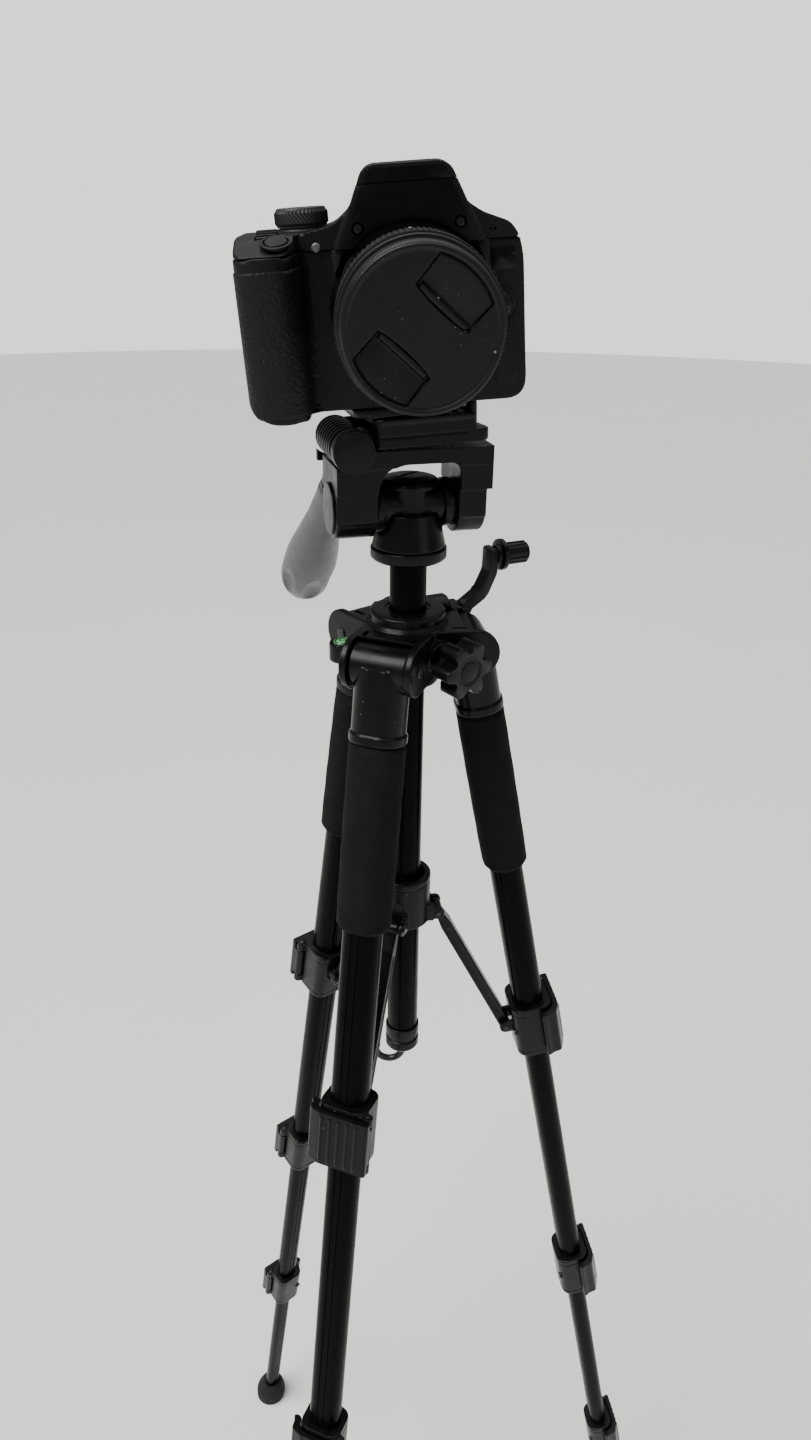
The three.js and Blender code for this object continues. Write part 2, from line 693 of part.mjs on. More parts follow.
// Ribbed lock knob, its shank running back through both hinge lugs.
const ribs = [];
for (let i = 0; i < 6; i++) {
  const y = 14 - i * 6;
  ribs.push([9.7, y + 3.4], [9.7, y], [8.6, y - 0.4], [8.6, y - 2.4]);
}
const lockKnob = turned([
  [0, 30], [3, 30], [3, 19.4], [8.6, 19.4], ...ribs, [10, -18.6], [10, -26], [0, -26],
], 14).rotate([-90, 0, 0]);
add(flipFrame, "platform_knob", "abs", lockKnob);

const latchFrame = frameIn(flipFrame, 63, -8.5, 0);
add(latchFrame, "plate_latch", "abs", union(
  rod("z", 3, 4.9, 16.6, 20),
  slab("xy", roundedRect(6.4, 18, 2, 0.4, 8), 5, 15.5, 0.6),
  box(-2.6, 3.4, 10, 19, 8, 12),
));

const plateFrame = frameIn(flipFrame, 0, 0, 13.4);
plateFrame.rotation.y = -PLATE_ASKEW * deg;
const plateTop = CAMERA.floorZ - 13.4 - GAP;
add(plateFrame, "quick_release_plate", "abs", union(
  slab("xy", roundedRect(56, 42, 8, 31, 0), 0.3, plateTop, 0.6),
  box(12, 50, -14.5, 14.5, -4, 1),
));

// Round wheel along z with a toothed rim.
function ribbedRim(radius, z0, z1, count, depth = 0.6) {
  const points = [];
  for (let i = 0; i < count * 2; i++) {
    for (const step of [0, 0.5]) {
      const angle = ((i + step) / (count * 2)) * 2 * Math.PI;
      const r = i % 2 ? radius : radius - depth;
      points.push([r * Math.cos(angle), r * Math.sin(angle)]);
    }
  }
  return slab("xy", points, z0, z1);
}

// ---------------------------------------------------------------- camera body
// Origin at the lens axis in the mount's face; x to the viewer's right, y towards the back.
const screwFrame = frameIn(plateFrame, CAMERA.screwX, 0, CAMERA.floorZ - 13.4);
screwFrame.rotation.z = CAMERA.twist * deg;
const body = frameIn(screwFrame, 0, -CAMERA.screwBack, CAMERA.axisUp);

const SHELL = { left: -76, right: 50.5, bottom: -43, seamZ: 25.6, seamY: 30 };
function shellOutline(inset = 0) {
  const { left, right, bottom, seamZ } = SHELL;
  const s = new THREE.Shape();
  s.moveTo(left + 12 + inset, bottom + inset);
  s.lineTo(right - 9 - inset, bottom + inset);
  s.quadraticCurveTo(right - inset, bottom + inset, right - inset, bottom + 10);
  s.lineTo(right - inset - 0.4, 18);
  s.lineTo(right - 2 - inset, seamZ);
  s.lineTo(left + 3 + inset, seamZ);
  s.lineTo(left + inset, 12);
  s.lineTo(left + 2.5 + inset, bottom + 14);
  s.quadraticCurveTo(left + 3 + inset, bottom + inset, left + 12 + inset, bottom + inset);
  return s;
}

function gripOutline() {
  const s = new THREE.Shape();
  s.moveTo(-75.6, 20);
  s.lineTo(-76.4, 0);
  s.quadraticCurveTo(-76.4, -17.5, -63, -18.4);
  s.quadraticCurveTo(-51, -18.4, -50, -6);
  s.quadraticCurveTo(-49, 7.6, -38, 9);
  s.lineTo(-38, 20);
  return s;
}

// Throat of the lens mount and wells of the command dial and shutter button, cut from both
// shells they reach.
const throat = rod("y", 27.4, -2, 24, 36);
const wheelWell = moved(rod("x", 9.4, -66.4, -56.4, 24), 0, 6.5, 27);
const buttonWell = moved(rod("z", 5.6, -0.3, 20, 28).rotate([20, 0, 0]), -56.8, -7.6, 26.1);

function frontSolid() {
  let solid = union(
    slab("xz", shellOutline(), 7, SHELL.seamY, 2.2),
    slab("xy", gripOutline(), SHELL.bottom, SHELL.seamZ, 1.4),
    rod("y", 34.5, 1.5, 12, 40).intersect(box(-60, 60, -5, 20, SHELL.bottom + 1, SHELL.seamZ)),
    rod("y", 31, 0, 4, 40).intersect(box(-60, 60, -5, 20, SHELL.bottom + 1, SHELL.seamZ)),
    moved(rod("y", 6, 1.5, 10, 24), 40, 0, -2),
  );
  return solid.subtract(throat).subtract(wheelWell).subtract(buttonWell);
}
add(body, "camera_front", "shell", frontSolid());

function rearSolid() {
  const y0 = SHELL.seamY + GAP;
  let solid = slab("xz", shellOutline(0.4), y0, 56, 2);
  solid = union(solid, slab("xz", roundedRect(71, 54, 4, -16, -11), 54, 58.2, 0.8));
  const thumb = slab("xy", roundedRect(22, 11, 5, 38, 56), -14, 20, 2);
  return solid.add(thumb.intersect(box(20, 49, 50, 61, -20, 25)));
}
add(body, "camera_rear", "shell", rearSolid());

function topSolid() {
  const z = SHELL.seamZ + GAP;
  const outline = new THREE.Shape();
  outline.moveTo(-47.6, z);
  outline.lineTo(48.6, z);
  outline.lineTo(44.5, 32);
  outline.lineTo(33, 36.2);
  outline.quadraticCurveTo(26.6, 38.6, 25, 43);
  outline.lineTo(21.6, 50);
  outline.lineTo(-21.6, 50);
  outline.lineTo(-25, 43);
  outline.quadraticCurveTo(-26.8, 37.4, -33, 35.1);
  outline.lineTo(-47.6, 32.6);
  let solid = slab("xz", outline, 6, 54, 1.6);
  const panel = [[-33, z], [33, z], [25.6, 41], [21, 50], [-21, 50], [-25.6, 41]];
  solid = union(solid, slab("xz", panel, -1, 10, 1));
  // Grip shoulder with the sloping front where the shutter button sits.
  const shoulder = [[-17, z], [54, z], [54, 33], [12, 33.4], [0, 32.6], [-14, 27.6]];
  solid = solid.add(slab("yz", shoulder, -75, -40, 0.5));
  solid = solid.add(slab("xz", [[-22, 40], [22, 40], [19, 50], [-19, 50]], 50, 62, 1.5));
  // Seats of the mode dial, command dial and shutter button, then the viewfinder tunnel.
  solid = solid.add(moved(rod("z", 12.4, 28, 34.6, 18), -47, 27, 0));
  solid = solid.subtract(moved(rod("z", 3.4, 20, 60, 20), -47, 27, 0));
  solid = solid.subtract(wheelWell);
  solid = solid.subtract(throat);
  solid = solid.subtract(buttonWell);
  solid = solid.subtract(box(-12, 12, 56, 70, 41.5, 47.5));
  // Keep clear of the lens.
  return solid.subtract(rod("y", 35.2, -20, 1.2, 40));
}
add(body, "camera_top", "shell", topSolid());

// Pop-up flash: the lid of the hump, hinged behind the accessory shoe.
const flashFrame = frameIn(body, 0, 40, 51.4);
const lid = [[-21.2, -1], [21.2, -1], [19, 4.6], [15.6, 6.8], [-15.6, 6.8], [-19, 4.6]];
add(flashFrame, "flash_unit", "gloss", slab("xz", lid, -41, 0.8, 1.0));

// Battery door under the grip.
const doorFrame = frameIn(body, -53.5, 20, SHELL.bottom);
const door = slab("xy", roundedRect(20, 34, 3, -10.4, 0), -1.7, -0.35, 0.3);
add(doorFrame, "battery_door", "shell", door);

const dialFrame = frameIn(body, -47, 27, 34.6);
const dial = union(
  ribbedRim(11.9, 0.35, 8.2, 18),
  rod("z", 3, -6, 1),
);
add(dialFrame, "mode_dial", "shell", dial);

const wheelFrame = frameIn(body, -61.4, 6.5, 27);
const wheel = ribbedRim(8.6, -4.4, 4.4, 14).rotate([0, 90, 0]);
add(wheelFrame, "command_dial", "shell", wheel);

const buttonFrame = frameIn(body, -56.8, -7.6, 26.1);
buttonFrame.rotation.x = 20 * deg;
add(buttonFrame, "shutter_button", "gloss", turned([
  [0, 1.6], [5, 1.6], [5.1, 5.4], [4.2, 6.2], [0, 5.8],
], 28));

// ---------------------------------------------------------------- lens
const LENS = { mountEnd: -0.4, waist: -26, ring: -30, ringEnd: -63.5, focus: -64, rim: -74.5 };
const barrel = turned([
  [0, 20], [24, 20], [26.6, 18], [26.6, LENS.mountEnd], [31.6, LENS.mountEnd],
  [32.6, -6], [33.2, -20], [32.4, -26],
  [31.4, -29.4], [28.4, -29.6], [28.4, LENS.ringEnd - 0.2], [0, LENS.ringEnd - 0.2],
], 26);
add(body, "lens_barrel", "shell", barrel.rotate([-90, 0, 0]));
add(body, "zoom_ring", "rubber", union(
  ribbedRim(34.25, 36, 60, 22, 0.7).rotate([90, 0, 0]),
  rod("y", 33.3, -63.4, -30, 36),
).subtract(rod("y", 28.4 + GAP, -70, -20, 36)));
const front = rod("y", 31.6, LENS.rim, -64, 40);
add(body, "focus_ring", "shell", front.subtract(rod("y", 26, -80, -64 - 7, 32)));

// Cap: rim, recessed face and two pinch grips on the slanting diagonal.
const capFrame = frameIn(body, 0, LENS.rim - GAP, 0);
let cap = turned([
  [0, 3.4], [25.4, 3.4], [25.4, 0], [30.8, 0], [31.2, -0.8], [31.2, -2.4], [30.4, -3.2], [0, -3.2],
], 30).rotate([-90, 0, 0]);
for (const side of [0, 180]) {
  const pocket = slab("xz", [[-13.2, 9.8], [13.2, 9.8], [13.6, 24.8], [-13.6, 24.8]], -5, -1.4);
  cap = cap.subtract(pocket.rotate([0, 45 + side, 0]));
}
add(capFrame, "lens_cap", "gloss", cap);

// ---------------------------------------------------------------- stand on the origin
group.updateMatrixWorld(true);
const extent = new THREE.Box3().setFromObject(group, true);
group.position.set(
  -(extent.min.x + extent.max.x) / 2,
  -(extent.min.y + extent.max.y) / 2,
  -extent.min.z,
);

export default group;
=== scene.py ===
import math

import bmesh
import bpy
from mathutils import Matrix, Vector


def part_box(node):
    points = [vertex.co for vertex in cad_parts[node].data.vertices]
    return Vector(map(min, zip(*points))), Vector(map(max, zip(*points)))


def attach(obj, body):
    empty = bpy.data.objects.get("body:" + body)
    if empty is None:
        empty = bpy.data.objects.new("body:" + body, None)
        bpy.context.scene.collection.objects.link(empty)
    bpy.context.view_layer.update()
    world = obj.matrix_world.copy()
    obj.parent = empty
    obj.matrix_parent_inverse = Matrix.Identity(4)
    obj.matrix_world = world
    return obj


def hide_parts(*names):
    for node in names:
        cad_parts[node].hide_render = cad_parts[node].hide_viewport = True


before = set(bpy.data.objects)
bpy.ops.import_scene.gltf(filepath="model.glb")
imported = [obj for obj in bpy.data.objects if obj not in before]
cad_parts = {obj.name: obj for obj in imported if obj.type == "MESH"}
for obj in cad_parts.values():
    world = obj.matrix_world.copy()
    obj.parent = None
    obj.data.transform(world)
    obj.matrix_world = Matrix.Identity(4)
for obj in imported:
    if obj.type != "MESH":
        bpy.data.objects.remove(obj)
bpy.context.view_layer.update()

# ---------------------------------------------------------------- driving dimensions, in mm
MM = 0.001
GAP = 0.35
COLUMN_TOP = 48.5
LEG_AZIMUTHS = {"front": -111.05, "right": 8.95, "rear": 128.95}
LEG_SPREAD = 11.04
LEG_RADIUS = 33.7
LEG_FLOOR = 968
CLAMP_1 = 278.5
CLAMPS = {"front": (520, 755), "right": (538.5, 773.5), "rear": (500, 730)}
NEST = 41
TUBES = [(22.5, 19.5), (20.3, 16.3), (16.9, 13.1), (13.5, 10.9)]
COLLARS = [(30, 27), (27.4, 24), (24, 21)]
BRACE_DOWN, BRACE_IN, RING_RADIUS, RING_Z = 275, 18.5, 20.2, -176
SHAFT_Z, PINION_OUT, RACK_AZIMUTH = 9, 15.2, 115
RACK = {"module": 1.5, "teeth": 50, "low": -200, "pitch_line": 8.3}
TOOTH = {"root": 1.53, "tip": 0.51, "below": 1.65, "above": 1.15}
PINION_TEETH = 9
LOCK_AZIMUTH, LOCK_Z = -51, 1
BUBBLE_AZIMUTH, BUBBLE_OUT = -170, 35.1
HEAD_YAW, TILT_Z, FLIP_U, FLIP_Z = 16, 77, -34.2, 109.3
SLOT_HALF = 15.85  # half width between a hip's ears
EAR_HALF = 19.8
LUG_IN, LUG_OUT = 5.45, 8.2  # cheeks on each side of a strut's eye
HANDLE_SEAT = (-33.5, 19, 10, -40.5, "X")  # on the yoke
SHUTTER_SEAT = (-56.8, -7.6, 26.1, 20, "X")  # on the camera
SCREW_ALONG, SCREW_BACK, CAMERA_TURN = 38.1, 31.6, -13.5  # camera on its plate
PLATE_UP, PAD_TOP = 13.4, 4.6
SEAM_Z, SEAM_Y, BOTTOM, LEFT, RIGHT = 25.6, 30, -43, -76, 50.5  # camera shells
DIAL_X, DIAL_Y = -47, 27
WHEEL_Y, WHEEL_Z = 6.5, 27
FACE_SCREW_X, FACE_SCREW_Z = 22, 33.5


# ---------------------------------------------------------------- frames
def frame_at(base, x=0, y=0, z=0, angle=0, axis="Z"):
    return base @ Matrix.Translation((x, y, z)) @ Matrix.Rotation(math.radians(angle), 4, axis)


def tripod_frame():
    low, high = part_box("column")
    centre = (low + high) / 2
    place = Matrix.Translation((centre.x, centre.y, high.z - COLUMN_TOP * MM))
    return place @ Matrix.Scale(MM, 4)


TRIPOD = tripod_frame()
HIPS = {
    name: frame_at(frame_at(TRIPOD, angle=azimuth - 90), 0, LEG_RADIUS, 0, LEG_SPREAD, "X")
    for name, azimuth in LEG_AZIMUTHS.items()
}
LOCK = frame_at(TRIPOD, 0, 0, LOCK_Z, LOCK_AZIMUTH - 90)
CRANK = frame_at(frame_at(TRIPOD, 0, 0, SHAFT_Z, RACK_AZIMUTH - 90), 0, PINION_OUT)
HEAD = frame_at(TRIPOD, angle=HEAD_YAW)
TILT = frame_at(HEAD, 0, 0, TILT_Z)
HANDLE = frame_at(TILT, *HANDLE_SEAT)
FLIP = frame_at(TILT, FLIP_U, 0, FLIP_Z - TILT_Z, -2.5, "Y")
PLATE = frame_at(FLIP, 0, 0, PLATE_UP, -2, "Y")
BODY = frame_at(frame_at(PLATE, SCREW_ALONG, 0, PAD_TOP, CAMERA_TURN), 0, -SCREW_BACK, -BOTTOM)

# ---------------------------------------------------------------- outlines
AXES = {
    "z": Matrix.Identity(4),
    "x": Matrix(((0, 0, 1, 0), (1, 0, 0, 0), (0, 1, 0, 0), (0, 0, 0, 1))),
    "y": Matrix(((0, 1, 0, 0), (0, 0, 1, 0), (1, 0, 0, 0), (0, 0, 0, 1))),
}
PLANES = {
    "xy": Matrix.Identity(4),
    "yz": AXES["x"],
    "xz": Matrix(((1, 0, 0, 0), (0, 0, 1, 0), (0, 1, 0, 0), (0, 0, 0, 1))),
}


def circle(radius, count, z=None, phase=0.0):
    points = []
    for i in range(count):
        angle = phase + 2 * math.pi * i / count
        points.append((radius * math.cos(angle), radius * math.sin(angle)))
    return points if z is None else [(x, y, z) for x, y in points]


def eased(points, radius, closed=False, steps=3):
    """The same line with its corners rounded."""
    result = []
    for i, point in enumerate(points):
        if not closed and i in (0, len(points) - 1):
            result.append(tuple(point))
            continue
        before, corner = Vector(points[i - 1]), Vector(point)
        after = Vector(points[(i + 1) % len(points)])
        back, ahead = before - corner, after - corner
        first = corner + back.normalized() * min(radius, back.length * 0.48)
        last = corner + ahead.normalized() * min(radius, ahead.length * 0.48)
        for k in range(steps + 1):
            t = k / steps
            result.append(tuple(first * (1 - t) ** 2 + corner * (2 * t * (1 - t)) + last * t ** 2))
    return result


def rounded(width, depth, radius, x=0, y=0, steps=8):
    a, b = width / 2, depth / 2
    radius = min(radius, a, b) - 1e-3
    points = []
    for cx, cy, start in ((a, b, 0), (-a, b, 90), (-a, -b, 180), (a, -b, 270)):
        mx, my = cx - math.copysign(radius, cx), cy - math.copysign(radius, cy)
        for k in range(steps + 1):
            angle = math.radians(start + 90 * k / steps)
            points.append((x + mx + radius * math.cos(angle), y + my + radius * math.sin(angle)))
    return points


def ribbed(radius, count, depth, share=0.5):
    """Outline of a round wheel with count raised ribs."""
    points = []
    for i in range(count):
        for part, r in ((0, radius - depth), (1 - share, radius - depth), (1 - share * 0.8, radius),
                        (1 - share * 0.2, radius)):
            angle = 2 * math.pi * (i + part) / count
            points.append((r * math.cos(angle), r * math.sin(angle)))
    return points


# ---------------------------------------------------------------- meshes
def finished(bm, matrix=None):
    if matrix is not None:
        bmesh.ops.transform(bm, matrix=matrix, verts=bm.verts)
    bmesh.ops.recalc_face_normals(bm, faces=bm.faces)
    mesh = bpy.data.meshes.new("part")
    bm.to_mesh(mesh)
    bm.free()
    return mesh


def skinned(rings, closed=False, matrix=None):
    """Closed mesh through rings of points. A ring of one point is a tip; flat caps close open ends."""
    bm = bmesh.new()
    loops = [[bm.verts.new(point) for point in ring] for ring in rings]
    pairs = list(zip(loops, loops[1:]))
    if closed:
        pairs.append((loops[-1], loops[0]))
    count = max(len(loop) for loop in loops)
    for a, b in pairs:
        for i in range(count):
            j = (i + 1) % count
            corners = [a[i % len(a)], a[j % len(a)], b[j % len(b)], b[i % len(b)]]
            face = list(dict.fromkeys(corners))
            if len(face) > 2:
                bm.faces.new(face)
    if not closed:
        for loop in (loops[0], loops[-1]):
            if len(loop) > 2:
                bm.faces.new(loop)
    return finished(bm, matrix)


def revolved(profile, segments=64, axis="z", ease=0.35):
    """Turned piece. A profile that leaves the axis closes on itself, as a tube does."""
    closed = profile[0][0] > 1e-6
    line = eased(profile, ease, closed) if ease else profile
    rings = [circle(r, segments, z) if r > 1e-6 else [(0, 0, z)] for r, z in line]
    return skinned(rings, closed, AXES[axis])


def cylinder(axis, radius, start, end, segments=48, ease=0.5):
    return revolved([(0, start), (radius, start), (radius, end), (0, end)], segments, axis, ease)


def band(inner, outer, start, end, segments=64, axis="z", ease=0.0):
    """Ring of rectangular section about the axis."""
    section = [(inner, start), (outer, start), (outer, end), (inner, end)]
    return revolved(section, segments, axis, ease)


def prism(plane, outline, start, end, bevel=0.0, steps=2):
    """Outline in the plane's two axes, extruded along the third, with rounded rims."""
    bm = bmesh.new()
    low = [bm.verts.new((x, y, start)) for x, y in outline]
    high = [bm.verts.new((x, y, end)) for x, y in outline]
    rims = [bm.faces.new(low), bm.faces.new(high)]
    for i in range(len(outline)):
        j = (i + 1) % len(outline)
        bm.faces.new((low[i], low[j], high[j], high[i]))
    if bevel:
        edges = {edge for face in rims for edge in face.edges}
        bmesh.ops.bevel(bm, geom=list(edges), offset=bevel, segments=steps, profile=0.5,
                        affect="EDGES", clamp_overlap=True)
    return finished(bm, PLANES[plane])


def block(x0, x1, y0, y1, z0, z1, bevel=0.0):
    bm = bmesh.new()
    bmesh.ops.create_cube(bm, size=1)
    matrix = Matrix.Translation(((x0 + x1) / 2, (y0 + y1) / 2, (z0 + z1) / 2))
    matrix = matrix @ Matrix.Diagonal((x1 - x0, y1 - y0, z1 - z0, 1))
    bmesh.ops.transform(bm, matrix=matrix, verts=bm.verts)
    if bevel:
        bmesh.ops.bevel(bm, geom=bm.edges[:], offset=bevel, segments=2, profile=0.5, affect="EDGES")
    return finished(bm)


def ellipsoid(rx, ry, rz, segments=40):
    count = segments // 2
    rings = []
    for k in range(count + 1):
        a = math.pi * k / count
        if k in (0, count):
            rings.append([(0, 0, -rz * math.cos(a))])
            continue
        rings.append([(rx * x, ry * y, -rz * math.cos(a)) for x, y in circle(math.sin(a), segments)])
    return skinned(rings)


def swept(points, radius, sides=20):
    """Round bar along a line of points."""
    line = [Vector(p) for p in points]
    side = Vector((0, 1, 0))
    rings = []
    for i, p in enumerate(line):
        along = (line[min(i + 1, len(line) - 1)] - line[max(i - 1, 0)]).normalized()
        up = side.cross(along).normalized()
        side = along.cross(up).normalized()
        rings.append([p + (side * x + up * y) for x, y in circle(radius, sides)])
    return skinned(rings)


def moved(mesh, x=0, y=0, z=0, angle=0, axis="Z"):
    """The mesh turned about its own axis, then shifted."""
    mesh.transform(frame_at(Matrix.Identity(4), x, y, z, angle, axis))
    return mesh


def evaluated(obj):
    bpy.context.view_layer.update()
    graph = bpy.context.evaluated_depsgraph_get()
    mesh = bpy.data.meshes.new_from_object(obj.evaluated_get(graph))
    bpy.data.objects.remove(obj)
    return mesh


def stand_in(mesh):
    obj = bpy.data.objects.new("work", mesh)
    bpy.context.scene.collection.objects.link(obj)
    return obj


def carved(base, add=(), cut=(), keep=()):
    """Boolean of the base with the pieces added, then cut away, then kept in common."""
    host = stand_in(base)
    tools = []
    for operation, meshes in (("UNION", add), ("DIFFERENCE", cut), ("INTERSECT", keep)):
        for mesh in meshes:
            tool = stand_in(mesh)
            modifier = host.modifiers.new(operation, "BOOLEAN")
            modifier.operation = operation
            modifier.solver = "MANIFOLD"
            modifier.object = tool
            tools.append(tool)
    mesh = evaluated(host)
    for tool in tools:
        bpy.data.objects.remove(tool)
    return mesh


def softened(mesh, voxel=0.6, rounds=3, share=0.3):
    """Moulded look: the whole surface remeshed, its edges rounded, then thinned where it is flat."""
    host = stand_in(mesh)
    remesh = host.modifiers.new("remesh", "REMESH")
    remesh.mode = "VOXEL"
    remesh.voxel_size = voxel
    smooth = host.modifiers.new("smooth", "SMOOTH")
    smooth.iterations = rounds
    smooth.factor = 0.5
    thin = host.modifiers.new("thin", "DECIMATE")
    thin.ratio = share
    return evaluated(host)


def moulded(core, add, cut, voxel, share=0.3):
    return softened(carved(core, add, cut), voxel, 2, share)


# ---------------------------------------------------------------- materials
class Finish:
    """A procedural material under construction, with its Principled shader."""

    def __init__(self, name, colour, roughness, specular=0.5, metallic=0.0, coat=None):
        self.material = bpy.data.materials.new(name)
        self.material.use_nodes = True
        self.nodes = self.material.node_tree.nodes
        self.links = self.material.node_tree.links
        self.shader = self.nodes["Principled BSDF"]
        for socket, value in (("Metallic", metallic), ("Specular IOR Level", specular),
                              *zip(("Coat Weight", "Coat Roughness"), coat or ())):
            self.shader.inputs[socket].default_value = value
        self.place = self.nodes.new("ShaderNodeTexCoord").outputs["Object"]
        self.height = None
        self.colour = self.tone(colour, [c * 1.6 for c in colour], self.noise(45, 3))
        self.rough = self.ranged(self.noise(120, 4), roughness - 0.06, roughness + 0.08)

    def node(self, kind, **values):
        node = self.nodes.new(kind)
        for name, value in values.items():
            node.inputs[name].default_value = value
        return node

    def stretched(self, scale):
        """The place on the piece, scaled along each axis, for grain that runs one way."""
        mapping = self.node("ShaderNodeMapping", Scale=scale)
        self.links.new(self.place, mapping.inputs["Vector"])
        return mapping.outputs["Vector"]

    def noise(self, scale, detail=2, place=None):
        noise = self.node("ShaderNodeTexNoise", Scale=scale, Detail=detail)
        self.links.new(place or self.place, noise.inputs["Vector"])
        return noise.outputs["Fac"]

    def cells(self, scale, feature="F1"):
        cells = self.node("ShaderNodeTexVoronoi", Scale=scale)
        cells.feature = feature
        self.links.new(self.place, cells.inputs["Vector"])
        return cells.outputs["Distance"]

    def ranged(self, source, low, high, start=0.3, end=0.7):
        ranging = self.node("ShaderNodeMapRange")
        for name, value in (("From Min", start), ("From Max", end), ("To Min", low), ("To Max", high)):
            ranging.inputs[name].default_value = value
        self.links.new(source, ranging.inputs["Value"])
        return ranging.outputs["Result"]

    def tone(self, first, second, factor):
        mix = self.nodes.new("ShaderNodeMix")
        mix.data_type = "RGBA"
        for socket, value in ((mix.inputs[6], first), (mix.inputs[7], second)):
            if isinstance(value, (list, tuple)):
                socket.default_value = (*value, 1)
            else:
                self.links.new(value, socket)
        self.links.new(factor, mix.inputs[0])
        return mix.outputs[2]

    def noisy(self, scale, detail, strength, distance, stretch=None):
        """Relief of soft noise, drawn out along the axes where stretch is small."""
        place = self.stretched(stretch) if stretch else None
        return self.bump(self.noise(scale, detail, place), strength, distance)

    def celled(self, scale, strength, distance, feature="F1"):
        """Relief of small cells, as in moulded leather grain."""
        return self.bump(self.cells(scale, feature), strength, distance)

    def mottled(self, second, scale, detail):
        self.colour = self.tone(self.colour, second, self.noise(scale, detail))
        return self

    def bump(self, height, strength, distance):
        bump = self.node("ShaderNodeBump", Strength=strength, Distance=distance)
        self.links.new(height, bump.inputs["Height"])
        if self.height is not None:
            self.links.new(self.height, bump.inputs["Normal"])
        self.height = bump.outputs["Normal"]
        return self

    def wear(self, colour, low=0.53, high=0.6):
        """Handled edges show lighter."""
        edge = self.nodes.new("ShaderNodeNewGeometry").outputs["Pointiness"]
        self.colour = self.tone(self.colour, colour, self.ranged(edge, 0, 0.6, low, high))
        return self

    def dust(self, colour, scale, share=0.06):
        """Sparse specks, rougher than what they lie on."""
        speck = self.ranged(self.cells(scale), 1, 0, share, share * 1.8)
        sparse = self.ranged(self.noise(60, 1), 0, 1, 0.55, 0.62)
        both = self.combined("MULTIPLY", speck, sparse)
        self.colour = self.tone(self.colour, colour, both)
        self.rough = self.combined("ADD", self.rough, both, True)
        return self

    def combined(self, operation, first, second, clamp=False):
        math_node = self.nodes.new("ShaderNodeMath")
        math_node.operation = operation
        math_node.use_clamp = clamp
        self.links.new(first, math_node.inputs[0])
        self.links.new(second, math_node.inputs[1])
        return math_node.outputs[0]

    def done(self):
        self.links.new(self.colour, self.shader.inputs["Base Color"])
        self.links.new(self.rough, self.shader.inputs["Roughness"])
        if self.height is not None:
            self.links.new(self.height, self.shader.inputs["Normal"])
        return self.material


